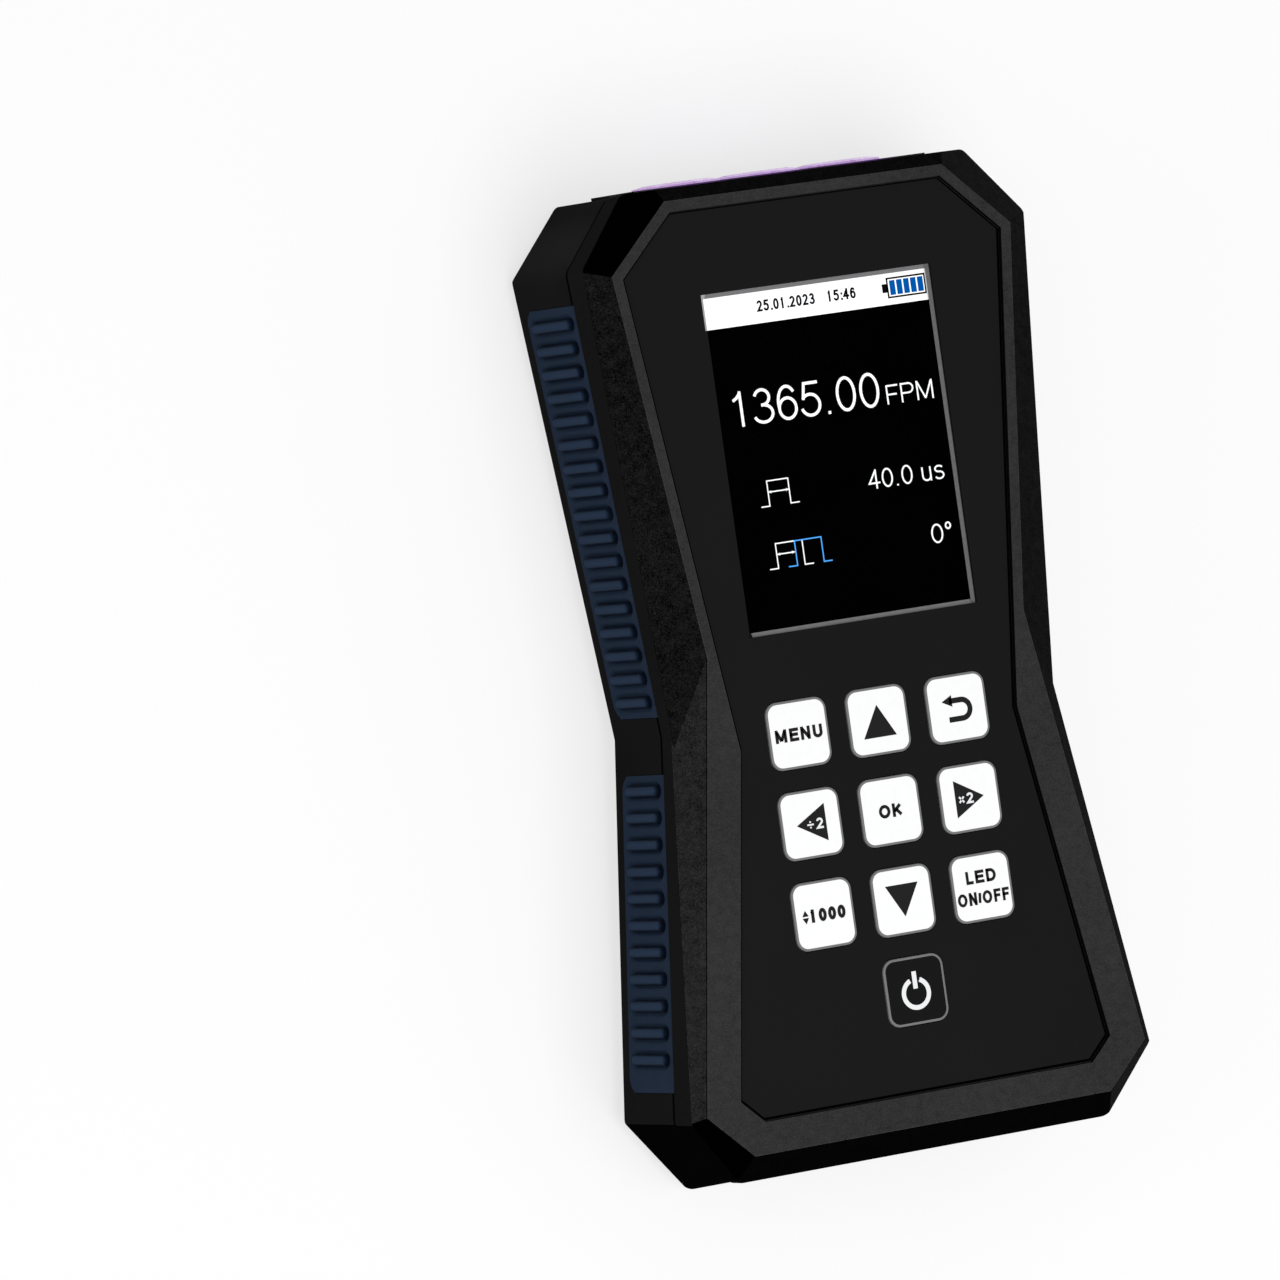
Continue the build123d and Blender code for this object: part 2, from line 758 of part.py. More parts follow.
def tapered(solid, sides, wide, narrow, start_y, end_y):
    """Solid on the head end, cut by planes that lean in from a wide outline to a narrow one."""
    edge = wide * cos(pi / sides)
    lean = edge - narrow * cos(pi / sides)
    depth = end_y - start_y
    for side in range(sides):
        angle = 2 * pi * side / sides
        outward = Vector(depth * cos(angle), lean, depth * sin(angle)) * depth
        facet = Plane(origin=Vector(edge * cos(angle), start_y, edge * sin(angle)), z_dir=outward)
        solid = split(solid, bisect_by=facet, keep=Keep.BOTTOM)
    return solid


def make_lens(across):
    """Lens: a cut six-sided front, a flange behind the plate and a body that narrows to the diode."""
    shoulder_y = plate_front_y + lens_shoulder
    tip_y = head_y + lens_proud
    front = on_head(flat_sided(lens_radius, lens_sides), plate_back_y, tip_y)
    lens = tapered(front, lens_sides, lens_radius, lens_table_radius, shoulder_y, tip_y)
    dimple = Cone(lens_dimple_radius - lens_dimple_depth, lens_dimple_radius, lens_dimple_depth,
                  align=(Align.CENTER, Align.CENTER, Align.MAX))
    lens -= facing_out(tip_y) * dimple
    flange_y = plate_back_y - lens_flange
    flange = Rectangle(lens_pitch - 2 * lens_flange_side_gap, 2 * (lens_radius + lens_flange_margin))
    lens += on_head(flange, flange_y, plate_back_y)
    body_radius = lens_radius - lens_body_step
    body = on_head(flat_sided(body_radius, inner_sides), led_board_front_y, flange_y)
    lens += tapered(body, inner_sides, body_radius, lens_body_back_radius, flange_y, led_board_front_y)
    well = flat_sided(lens_well_radius, inner_sides)
    lens -= on_head(well, led_board_front_y, led_board_front_y + lens_well_depth)
    return Pos(-across, 0, lens_z) * lens


def make_led_board():
    """Board behind the lenses that carries the light-emitting diodes."""
    face = Pos(0, lens_z) * Rectangle(led_board_width, led_board_height)
    return on_head(face, led_board_back_y, led_board_front_y)


def make_led_emitters():
    """Three light-emitting diodes on their board, each under its lens."""
    emitters = []
    for across in lens_places().values():
        place = Pos(across, lens_z)
        base = on_head(place * Rectangle(led_size, led_size), led_board_front_y,
                       led_board_front_y + led_height / 2)
        cap = on_head(place * Rectangle(led_cap_size, led_cap_size), led_board_front_y,
                      led_board_front_y + led_height)
        emitters.append(base + cap)
    return Compound(children=emitters)


def make_heat_sink():
    """Heat sink behind the diodes' board, standing on the floor of the rear shell."""
    width = led_board_width - 2 * sink_inset
    sink = block_between(width, sink_base, floor_z, sink_top, y=led_board_back_y - sink_base / 2)
    pitch = (width - sink_fin_thickness) / (sink_fin_count - 1)
    for index in range(sink_fin_count):
        x = (index - (sink_fin_count - 1) / 2) * pitch
        sink += block_between(sink_fin_thickness, sink_fin_length, floor_z, sink_top, x,
                              sink_back_y + sink_fin_length / 2)
    return sink


def make_battery_cell():
    """Flat rechargeable cell on its pad."""
    cell = block_between(battery_width, battery_length, battery_z, battery_z + battery_thickness,
                         y=battery_y)
    return fillet(cell.edges().filter_by(Axis.Y), battery_corner_radius)


def make_battery_pad():
    """Adhesive pad between the cell and the floor."""
    return block_between(battery_width - 2 * battery_pad_border, battery_length - 2 * battery_pad_border,
                         floor_z, battery_z, y=battery_y)


def make_usb_socket():
    """Charging socket under the foot end of the main board."""
    radius = usb_height / 2 - usb_wall / 2
    middle = board_under_z - usb_height / 2
    start = Plane(origin=(0, foot_wall_y + usb_sink, middle), x_dir=(-1, 0, 0), z_dir=(0, 1, 0))
    body = start * extrude(RectangleRounded(usb_width, usb_height, radius), usb_length)
    mouth = RectangleRounded(usb_width - 2 * usb_wall, usb_height - 2 * usb_wall, radius - usb_wall)
    body -= start * extrude(mouth, usb_length - usb_wall)
    blade = Pos(0, 0, usb_blade_setback) * extrude(Rectangle(usb_blade_width, usb_blade),
                                                   usb_length - usb_blade_setback)
    return body + start * blade


def make_tripod_bush():
    """Threaded brass bush in the back, for a tripod screw."""
    bush = drum(bush_radius, pad_height, bush_flange_z, y=bush_y)
    bush += post(bush_radius + bush_flange_step, bush_flange_z, pad_height + bush_length, y=bush_y)
    return bush - drum(bush_bore_radius, 0, pad_height + bush_bore_depth, y=bush_y)


def make_foot(x, y):
    """Round rubber foot, let into the back."""
    return drum(pad_radius, 0, pad_height + pad_sink, x, y)


nodes = {
    "front_shell": make_front_shell(),
    "rear_shell": make_rear_shell(),
    "front_foil": make_front_foil(),
    "display_frame": make_display_frame(),
    "display_window": make_display_window(),
    "lcd_panel": make_lcd_panel(),
    "key_mat": make_key_mat(),
    "main_board": make_main_board(),
    "board_screws": make_board_screws(),
    "case_screws": make_case_screws(),
    "lens_plate": make_lens_plate(),
    "led_board": make_led_board(),
    "led_emitters": make_led_emitters(),
    "heat_sink": make_heat_sink(),
    "battery_cell": make_battery_cell(),
    "battery_pad": make_battery_pad(),
    "usb_socket": make_usb_socket(),
    "tripod_bush": make_tripod_bush(),
}
for name, centre in key_centres.items():
    nodes[name] = make_key(*centre)
for name, across in lens_places().items():
    nodes[name] = make_lens(across)
for name, place in grip_places().items():
    grip = make_grip(*place)
    nodes[f"grip_{name}_right"] = grip
    nodes[f"grip_{name}_left"] = mirror(grip, about=Plane.YZ)
pad_names = ("foot_head_right", "foot_head_left", "foot_tail_right", "foot_tail_left")
for name, place in zip(pad_names, pairs(pad_places)):
    nodes[name] = make_foot(*place)

for name, solid in nodes.items():
    export_step(solid, f"parts/{name}.step")
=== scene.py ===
"""Looks of a hand-held ultraviolet stroboscope.

Lengths are in metres, in the part's own frame: X to the right of the display, Y to
the light head, Z up out of the display.  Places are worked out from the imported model.
"""
import math

import bmesh
import bpy
import numpy as np
from mathutils import Matrix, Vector
from mathutils.bvhtree import BVHTree


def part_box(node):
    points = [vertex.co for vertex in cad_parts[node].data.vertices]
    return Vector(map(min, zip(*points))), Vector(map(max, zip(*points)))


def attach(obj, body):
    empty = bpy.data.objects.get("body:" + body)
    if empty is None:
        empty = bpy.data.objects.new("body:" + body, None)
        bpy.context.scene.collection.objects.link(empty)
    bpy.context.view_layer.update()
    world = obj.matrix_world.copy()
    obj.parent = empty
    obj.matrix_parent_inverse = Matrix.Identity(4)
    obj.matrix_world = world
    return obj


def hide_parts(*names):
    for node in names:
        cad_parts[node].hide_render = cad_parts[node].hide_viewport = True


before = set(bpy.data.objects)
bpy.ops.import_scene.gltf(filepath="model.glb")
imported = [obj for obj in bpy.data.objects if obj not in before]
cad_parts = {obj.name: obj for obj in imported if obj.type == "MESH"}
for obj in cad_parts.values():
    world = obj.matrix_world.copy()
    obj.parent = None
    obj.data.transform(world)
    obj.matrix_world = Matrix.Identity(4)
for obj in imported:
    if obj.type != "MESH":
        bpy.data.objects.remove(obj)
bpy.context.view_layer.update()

MM = 0.001
CASE = "case"

# Camera, at the angle of the photograph
CAMERA_PLACE = (-0.770188, 0.062799, 1.480964)
CAMERA_RIGHT = (0.882713, -0.138864, 0.448925)
CAMERA_DOWN = (-0.138713, -0.989769, -0.033411)
CAMERA_FORWARD = (0.448972, -0.032779, -0.892944)
CAMERA_LENS = 279.7534
CAMERA_SENSOR = 36.0
CAMERA_FAR = 20.0

# Printed inks
PRINT_THICKNESS = 0.02 * MM
LEGEND_INK = (0.012, 0.012, 0.013)
PALE_INK = (0.86, 0.87, 0.88)
# Painted shade on the keys' rounded edges, not ink
KEY_EDGE_SHADE = (0.17, 0.17, 0.175)
BAR_BLUE = (0.0, 0.085, 0.36)
PULSE_BLUE = (0.07, 0.35, 0.85)

# Screws of both kinds: dark and light colour, roughness, and stretch of the scratches
SCREW_STEEL = ((0.45, 0.45, 0.46), (0.62, 0.62, 0.63), 0.35, (1.0, 1.0, 0.2))

# Joining of points and of flat faces
JOIN_DISTANCE = 0.0005 * MM
MERGE_DISTANCE = 0.001 * MM
FLAT_ANGLE = math.radians(0.4)
TURN_STEPS = 72

# Outer edges and parting line of the shells
EDGE_ROUND = 0.16 * MM
UPRIGHT_ROUND = 1.1 * MM
UPRIGHT_TILT = 0.3
OUTWARD_TILT = 0.3
CREASE = math.radians(16)
EDGE_AREA = 20e-6
FLAT_TOP = 0.985
FACES_UP = 0.2
# Painted shadow under the parting line: how far below it, and how soft its edge
SEAM_SHADOW_DEPTH = 1.3 * MM
SEAM_SHADOW_SOFTNESS = 0.15 * MM
# Painted sheen on the rear shell by the head: its place along Y and its reach
PAINTED_SHEEN_PLACE = 74.5 * MM
PAINTED_SHEEN_REACH = 5.0 * MM

# Keys
KEY_CORNER_RADIUS = 2.1 * MM
KEY_EDGE_SHADE_BAND = 0.42 * MM
KEY_EDGE_ROUND = 0.15 * MM
KEY_FLANGE = 0.7 * MM
KEY_FLANGE_DEPTH = 0.8 * MM
KEY_STEM_HALF = 2.0 * MM
KEY_STEM_ROUND = 0.4 * MM
KEY_CAP_BELOW_TOP = 2.75 * MM

# Grip inlays
RIB_HEIGHT = 0.7 * MM
RIB_WIDTH = 2.1 * MM
RIB_TOP_MARGIN = 2.1 * MM
RIB_FOOT_MARGIN = 1.7 * MM
RIB_END_MARGIN = 2.6 * MM
GRIP_CORNER_RADIUS = 2.6 * MM
GRIP_EDGE_ROUND = 0.25 * MM
GRIP_MESH = 0.17 * MM
# Painted shading of the pad between the ribs
PAD_PAINTED_SHADING = 0.5
# Height, and painted shading from a pale crown to a dark groove, over the distance from a rib's middle line,
# in millimetres
RIB_SECTION = ((0.0, 0.3, 0.5, 0.66, 0.8, 0.95, 1.12, 1.25, 1.45, 1.7),
               (1.0, 0.985, 0.93, 0.8, 0.55, 0.0, -0.42, -0.45, -0.18, 0.0))
RIB_PAINTED_SHADING = ((0.0, 0.55, 0.75, 0.88), (0.88, 0.72, 0.3, 0.0))
PAST_RIB = ((0.0, 0.98, 1.3), (0.0, 0.0, 1.0))
# First rib's place and pitch along each inlay
GRIP_RIBS = {"upper": (3.0 * MM, 3.96 * MM), "lower": (2.6 * MM, 4.43 * MM)}

# Lenses and the light round them: shares are of the radius or of the bowl's radius and
# depth, and the lit way is the angle that the brightest facet looks to
LENSES = ("lens_left", "lens_centre", "lens_right")
LENS_SIDES = 6
LENS_RADIUS = 7.4 * MM
LENS_TABLE_RADIUS = 5.4 * MM
LENS_BOWL_RADIUS = 3.9 * MM
LENS_BOWL_DEPTH = 0.9 * MM
LENS_FACET_RISE = 0.35 * MM
LENS_FLANGE = 1.0 * MM
LENS_WELL = 2.2 * MM
LENS_BACK = (0.4, 0.5, 0.93)
LENS_STAND_OUT = 1.2 * MM
BOWL_SECTION = ((1.0, 0.0), (0.88, 1.0), (0.6, 0.7), (0.3, 0.5), (0.0, 0.42))
# Painted glow that the lenses throw on the lens plate and the rear shell
HALO_START = 0.9
HALO_REACH = 7.5 * MM
HALO_POWER = 3.0
HALO_BEHIND = 3.0 * MM
LENS_GLOW = (0.13, 0.03, 0.24)
LENS_LIT_WAY = 0.4
PLATE_CORNER_RADIUS = 3.6 * MM
PLATE_EDGE = 0.22 * MM

# Display: the picture is a little narrower than the panel, and moved to one side
BAR_HEIGHT = 5.2 * MM
FRAME_BAND = 2.1 * MM
FRAME_SIDE = 2.4 * MM
# Band of painted shade on the frame's right slope, as its two distances in from the frame's right side
FRAME_SHADE_BAND = (1.5 * MM, 1.0 * MM)
PICTURE_SHRINK = 0.99
PICTURE_SHIFT = (-0.68, 0.05)
FIGURE_STROKE = 0.5
SMALL_STROKE = 0.29
BAR_STROKE = 0.35

# Painted shadow of the recess wall round the foil: its width, and its shift to one side
FOIL_EDGE_SHADOW = 0.3 * MM
FOIL_EDGE_SHADOW_SHIFT = 0.13 * MM

# Feet: the dish is given by shares of the radius and rises
FOOT_ROUND = 0.35 * MM
FOOT_DISH = ((0.62, 0.0), (0.55, 0.15 * MM), (0.0, 0.15 * MM))
FEET = ("foot_head_right", "foot_head_left", "foot_tail_right", "foot_tail_left")

# Case screws: the rim of the head is given by shares of the radius and rises
HEAD_HEIGHT = 2.0 * MM
HEAD_FACE = 0.86
HEAD_RINGS = 22
HEAD_RIM = ((0.95, 0.12 * MM), (1.0, 0.35 * MM), (1.0, HEAD_HEIGHT))
CROSS_HALF_WIDTH = 0.33 * MM
CROSS_REACH = 0.66
CROSS_SLOPE = 0.16 * MM
CROSS_DEPTH = 1.1 * MM
CROSS_TAPER = 0.6
SHANK_SHARE = 0.48
SHANK_RINGS = 120
SCREW_PITCH = 0.9 * MM
SCREW_THREAD = 0.2 * MM
THREAD_START = 0.3 * MM

# Tripod bush and its thread
BUSH_RADIUS = 5.5 * MM
BUSH_FLANGE = 1.0 * MM
BUSH_EDGE = 0.3 * MM
BUSH_BORE = 2.6 * MM
BUSH_BORE_DEPTH = 6.8 * MM
BUSH_LEAD_IN = 0.5 * MM
BUSH_PITCH = 1.27 * MM
BUSH_THREAD = 0.5 * MM
BORE_RINGS = 90
THREAD_END = 0.2 * MM

# Lamps, with their place, size and power, and surround
LAMPS = (("key_light", (0.0, -0.35, 1.1), 0.8, 7.6), ("side_light", (-1.0, 0.1, 0.35), 0.5, 1.4))
AMBIENT = 0.5
FLOOR_GLOW = 0.7
FLOOR_REACH = 6.0


class Value:
    """A number or colour on its way through the nodes, with the usual operators."""

    def __init__(self, nodes, socket):
        self.nodes = nodes
        self.socket = socket

    def maths(self, operation, *values):
        return self.nodes.node("ShaderNodeMath", {"operation": operation}, dict(enumerate(values)))

    def __add__(self, other):
        return self.maths("ADD", self, other)

    def __radd__(self, other):
        return self.maths("ADD", other, self)

    def __sub__(self, other):
        return self.maths("SUBTRACT", self, other)

    def __rsub__(self, other):
        return self.maths("SUBTRACT", other, self)

    def __mul__(self, other):
        return self.maths("MULTIPLY", self, other)

    def __rmul__(self, other):
        return self.maths("MULTIPLY", other, self)

    def __truediv__(self, other):
        return self.maths("DIVIDE", self, other)

    def __pow__(self, other):
        return self.maths("POWER", self, other)

    def __lt__(self, other):
        return self.maths("LESS_THAN", self, other)

    def __gt__(self, other):
        return self.maths("GREATER_THAN", self, other)

    def least(self, other):
        return self.maths("MINIMUM", self, other)

    def most(self, other):
        return self.maths("MAXIMUM", self, other)

    def clamped(self):
        return self.most(0.0).least(1.0)

    def root(self):
        return self.maths("SQRT", self)

    def absolute(self):
        return self.maths("ABSOLUTE", self)


class Nodes:
    """The nodes of a material or a surround."""

    def __init__(self, tree):
        self.tree = tree

    def node(self, kind, settings=None, inputs=None, output=0):
        """One node: its settings first, then its inputs, and the wanted output back."""
        made = self.tree.nodes.new(kind)
        for setting, value in (settings or {}).items():
            setattr(made, setting, value)
        for key, value in (inputs or {}).items():
            self.lead(value, made.inputs[key])
        return Value(self, made.outputs[output])

    def lead(self, value, socket):
        """Links a value to a socket, or sets a number or colour on it."""
        if isinstance(value, Value):
            self.tree.links.new(value.socket, socket)
        else:
            socket.default_value = value


class Finish(Nodes):
    """A material made of one Principled shader and the nodes that feed it."""

    def __init__(self, name, **constants):
        self.material = bpy.data.materials.new(name)
        self.material.use_nodes = True
        super().__init__(self.material.node_tree)
        self.shader = self.tree.nodes["Principled BSDF"]
        self.feed(**constants)

    def feed(self, **values):
        """Sets or leads values into sockets of the shader, and gives the material back."""
        for socket, value in values.items():
            self.lead(value, self.shader.inputs[socket.replace("_", " ")])
        return self.material

    def axes(self):
        """The three parts of the place on the object."""
        parts = self.node("ShaderNodeSeparateXYZ", None, {0: self.place()}).socket.node
        return [Value(self, output) for output in parts.outputs]

    def place(self):
        """Place on the object, in its own frame."""
        return self.node("ShaderNodeTexCoord", output="Object")

    def attribute(self, name):
        """Number that the piece's mesh carries under this name."""
        return self.node("ShaderNodeAttribute", {"attribute_name": name}, output="Fac")

    def noise(self, size, detail=2.0, stretch=(1, 1, 1)):
        """Cloudy pattern whose spots are about this size."""
        stretched = self.node("ShaderNodeMapping", None, {"Vector": self.place(), "Scale": stretch})
        inputs = {"Vector": stretched, "Scale": 1 / size, "Detail": detail}
        return self.node("ShaderNodeTexNoise", {"noise_dimensions": "3D"}, inputs, output="Fac")

    def mix(self, factor, first, second):
        """Colour between two, at a factor from 0 to 1."""
        inputs = {"Factor": factor}
        made = self.node("ShaderNodeMix", {"data_type": "RGBA", "clamp_factor": True}, inputs, output=2)
        for index, colour in ((6, first), (7, second)):
            full = colour if isinstance(colour, Value) else (*colour, 1.0)
            self.lead(full, made.socket.node.inputs[index])
        return made

    def bump(self, height, depth):
        """Surface normal over a height pattern of this depth."""
        return self.node("ShaderNodeBump", None, {"Height": height, "Distance": depth, "Strength": 1.0})


def long_side(one, other):
    """Length of a step from its two parts: the root of the sum of their squares."""
    return (one ** 2.0 + other ** 2.0).root()


def lens_middles():
    """Middle of each lens front, from one side to the other."""
    middles = []
    for node in LENSES:
        low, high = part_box(node)
        middles.append(((low.x + high.x) / 2, high.y, (low.z + high.z) / 2))
    return middles


def lens_light(finish):
    """Share of the lenses' light at a place: it falls off round each lens, and behind the head end."""
    x, y, z = finish.axes()
    glow = None
    for across, tip, up in lens_middles():
        distance = long_side(x - across, z - up)
        near = (1.0 - (distance - LENS_RADIUS * HALO_START) / HALO_REACH).clamped() ** HALO_POWER
        glow = near if glow is None else glow + near - glow * near
    return glow * (1.0 - (tip - LENS_STAND_OUT - y) / HALO_BEHIND).clamped()


def front_moulding():
    """Spark-eroded front shell: a paler smooth rim and dark coarse bevels, with painted light and shade by
    face direction and painted highlights on the edges.

    The mesh carries how pale each face is, mostly painted shading by its direction, and how coarse its grain.
    """
    finish = Finish("front_moulding", Specular_IOR_Level=0.0004)
    fine = finish.noise(0.2 * MM, 2.0)
    coarse = finish.noise(0.5 * MM, 3.0)
    cloud = finish.noise(1.6 * MM, 3.0)
    slow = finish.noise(26 * MM, 2.0)
    grain = finish.attribute("grain")
    own = finish.attribute("painted_shade_and_tone")
    spots = (fine - 0.62).most(0.0) * 4.0
    speckle = ((coarse - 0.5) * 0.7 + (fine - 0.5) * 1.5 + (cloud - 0.5) * 0.7 + spots) * grain
    painted_shade_and_tone = own + speckle * (own + 0.2) * 1.3 + (slow - 0.5) * own * 0.4
    return finish.feed(Base_Color=finish.mix(painted_shade_and_tone, (0.0002, 0.0002, 0.0005), (0.047, 0.0455, 0.046)),
                       Roughness=(fine - 0.5) * 0.2 + 0.5,
                       Normal=finish.bump(fine * 0.5 + coarse * 0.5, 0.02 * MM))


def rear_moulding():
    """Smooth near-black rear shell, with a painted shadow just under the parting line and a painted violet
    glow near the lenses.

    The corner facets by the head carry a painted sheen, paler in their middle.
    """
    finish = Finish("rear_moulding", Specular_IOR_Level=0.0004, Emission_Strength=1.0)
    fine = finish.noise(0.2 * MM, 3.0)
    slow = finish.noise(30 * MM, 2.0)
    _, y, z = finish.axes()
    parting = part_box("lens_plate")[1].z
    # Painted sheen: a paler streak across the rear shell near the head.
    painted_sheen = (1.0 - ((y - PAINTED_SHEEN_PLACE) / PAINTED_SHEEN_REACH) ** 2.0).clamped()
    # Painted shadow just under the parting line, where the front shell overhangs.
    painted_seam_shadow = ((z - (parting - SEAM_SHADOW_DEPTH)) / SEAM_SHADOW_SOFTNESS).clamped()
    own = finish.attribute("painted_shade_and_tone")
    painted_shade_and_tone = own + (slow - 0.5 + (fine - 0.5) * 0.3 + painted_sheen * 0.9) * own * 0.6
    plain = finish.mix(painted_shade_and_tone, (0.0002, 0.0002, 0.0002), (0.063, 0.059, 0.060))
    return finish.feed(Base_Color=finish.mix(painted_seam_shadow, plain, (0.0004, 0.0004, 0.0004)),
                       # Painted violet glow of the lenses' light on the shell.
                       Emission_Color=finish.mix(lens_light(finish), (0.0, 0.0, 0.0), LENS_GLOW),
                       Roughness=(slow - 0.5) * 0.12 + (fine - 0.5) * 0.1 + 0.48,
                       Normal=finish.bump(fine, 0.008 * MM))


def printed_foil():
    """Matt keypad foil: nearly even, with a faint orange-peel skin."""
    finish = Finish("printed_foil", Specular_IOR_Level=0.02)
    skin = finish.noise(0.5 * MM, 2.0)
    slow = finish.noise(22 * MM, 1.0)
    return finish.feed(Base_Color=finish.mix(slow, (0.0078, 0.0078, 0.0079), (0.0092, 0.0091, 0.0092)),
                       Roughness=(skin - 0.5) * 0.15 + 0.45,
                       Normal=finish.bump(skin, 0.003 * MM))


def navy_rubber():
    """Matt navy rubber with painted shading: a painted highlight on the rib crowns, painted shade in the
    grooves round them.

    The mesh carries this painted shading at each place, from 0 in a groove to 1 on a crown.
    """
    finish = Finish("navy_rubber", Specular_IOR_Level=0.03)
    skin = finish.noise(0.35 * MM, 3.0)
    dust = finish.noise(3 * MM, 4.0)
    shade = finish.attribute("painted_rib_shading") + (dust - 0.5) * 0.3 + (skin - 0.5) * 0.12
    return finish.feed(Base_Color=finish.mix(shade, (0.0004, 0.0020, 0.0070), (0.0168, 0.0345, 0.0690)),
                       Roughness=(dust - 0.5) * 0.2 + 0.6,
                       Normal=finish.bump(skin, 0.012 * MM))


def black_rubber():
    """Black rubber of the feet, scuffed grey in small patches."""
    finish = Finish("black_rubber", Specular_IOR_Level=0.2)
    skin = finish.noise(0.3 * MM, 3.0)
    scuff = finish.noise(1.6 * MM, 5.0)
    shade = finish.mix((scuff - 0.55) * 5.0, (0.009, 0.009, 0.009), (0.028, 0.028, 0.027))
    return finish.feed(Base_Color=shade, Roughness=scuff * 0.2 + 0.6, Normal=finish.bump(skin, 0.02 * MM))


def satin_ink(name, colour, roughness=0.4, glow=0.0, specular=0.2):
    """Printed or moulded colour with a faint satin unevenness; a glow of 0 leaves it unlit."""
    finish = Finish(name, Specular_IOR_Level=specular)
    tone = finish.noise(1.2 * MM, 3.0)
    shade = finish.mix(tone, tuple(0.95 * part for part in colour), colour)
    if glow:
        finish.feed(Emission_Color=shade, Emission_Strength=glow)
    return finish.feed(Base_Color=shade, Roughness=(tone - 0.5) * 0.1 + roughness,
                       Normal=finish.bump(finish.noise(0.25 * MM), 0.002 * MM))


def display_black():
    """The dark picture of the display, with a faint slow cloudiness."""
    finish = Finish("display_black", Specular_IOR_Level=0.0)
    cloud = finish.noise(16 * MM, 1.0)
    return finish.feed(Base_Color=finish.mix(cloud, (0.0002, 0.0002, 0.0003), (0.0006, 0.0006, 0.0007)),
                       Roughness=cloud * 0.1 + 0.5)


def frame_painted_shading():
    """Grey slopes of the display's frame with painted light and shade: a painted highlight beside the status
    bar, painted shade on the left below it, a darker right slope with a dark band along it.
    """
    low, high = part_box("display_frame")
    finish = Finish("frame_painted_shading", Specular_IOR_Level=0.02)
    x, y, _ = finish.axes()
    right_foot = (x > high.x - FRAME_SHADE_BAND[0]) * (x < high.x - FRAME_SHADE_BAND[1])
    below_bar = y < high.y - FRAME_BAND - BAR_HEIGHT
    tone = finish.noise(0.6 * MM, 2.0)
    shaded = finish.mix(x > high.x - FRAME_SIDE, (0.17, 0.17, 0.175), (0.11, 0.11, 0.113))
    grey = finish.mix(tone * 0.3, shaded, (0.3, 0.3, 0.305))
    beside = finish.mix(below_bar, (0.42, 0.42, 0.43), (0.009, 0.009, 0.0095))
    right = finish.mix(right_foot, grey, (0.02, 0.02, 0.021))
    return finish.feed(Base_Color=finish.mix(x < low.x + FRAME_SIDE, right, beside),
                       Roughness=tone * 0.1 + 0.4)


def clear_window():
    """Clear cover of the display: nearly invisible, with a soft gloss."""
    finish = Finish("clear_window", Base_Color=(0.01, 0.01, 0.012, 1.0), Specular_IOR_Level=0.01)
    haze = finish.noise(14 * MM, 2.0)
    return finish.feed(Alpha=haze * 0.006 + 0.004, Roughness=haze * 0.1 + 0.25)


def lens_resin():
    """Lilac optic, lit from behind: facets with painted light and shade, painted shade on the bowl's wall on
    one side, flow marks.

    The mesh carries the painted light of each facet.  The painted dark lines lie at the bowl's wall, by the
    distance from the middle, and at the table's edge, by the distance square to a flat.
    """
    finish = Finish("lens_resin", Specular_IOR_Level=0.3, Emission_Strength=0.38)
    x, y, z = finish.axes()
    streak = finish.noise(2.2 * MM, 3.0, (1.0, 1.0, 0.4))
    flaw = (finish.noise(1.1 * MM, 2.0, (0.5, 1.0, 2.4)) > 0.63) * 0.35
    ring = None
    for across, tip, up in lens_middles():
        off_wall = (long_side(x - across, z - up) - LENS_BOWL_RADIUS * 0.93).absolute() / (0.35 * MM)
        one_side = ((across - x) / LENS_BOWL_RADIUS + 0.1).clamped()
        near = (1.0 - off_wall).clamped() * (y < tip - 0.1 * MM) * one_side
        flats = (x - across).absolute()
        for way in (-1, 1):
            slant = (x - across) * 0.5 + (z - up) * (way * math.sin(math.pi / 3))
            flats = flats.most(slant.absolute())
        off_line = (flats - LENS_TABLE_RADIUS * math.cos(math.pi / 6)).absolute() / (0.16 * MM)
        near = near.most((1.0 - off_line).clamped() * 0.45)
        ring = near if ring is None else ring.most(near)
    shade = (streak - 0.5) * 0.9 + finish.attribute("facet") * 0.8 - flaw
    pale = finish.mix(shade, (0.44, 0.26, 0.56), (0.74, 0.55, 0.88))
    shaded_lilac = finish.mix(ring, pale, (0.24, 0.11, 0.34))
    return finish.feed(Base_Color=shaded_lilac, Emission_Color=shaded_lilac, Roughness=streak * 0.1 + 0.14,
                       Normal=finish.bump(streak, 0.05 * MM))


def lit_plate():
    """Moulded lens plate, dark along its edge, with a violet glow from the lenses it surrounds."""
    finish = Finish("lit_plate", Specular_IOR_Level=0.03, Emission_Strength=1.0)
    fine = finish.noise(0.3 * MM, 3.0)
    slow = finish.noise(18 * MM, 2.0)
    x, _, z = finish.axes()
    low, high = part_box("lens_plate")
    beside = (x.absolute() - (high.x - PLATE_CORNER_RADIUS)).most(0.0)
    below = (low.z + PLATE_CORNER_RADIUS - z).most(0.0)
    edge = long_side(beside, below) > PLATE_CORNER_RADIUS - PLATE_EDGE
    plain = finish.mix(slow, (0.056, 0.052, 0.054), (0.068, 0.064, 0.066))
    return finish.feed(Base_Color=finish.mix(edge, plain, (0.001, 0.001, 0.001)),
                       Emission_Color=finish.mix(lens_light(finish), (0.0, 0.0, 0.0), LENS_GLOW),
                       Roughness=fine * 0.15 + 0.4,
                       Normal=finish.bump(fine, 0.006 * MM))


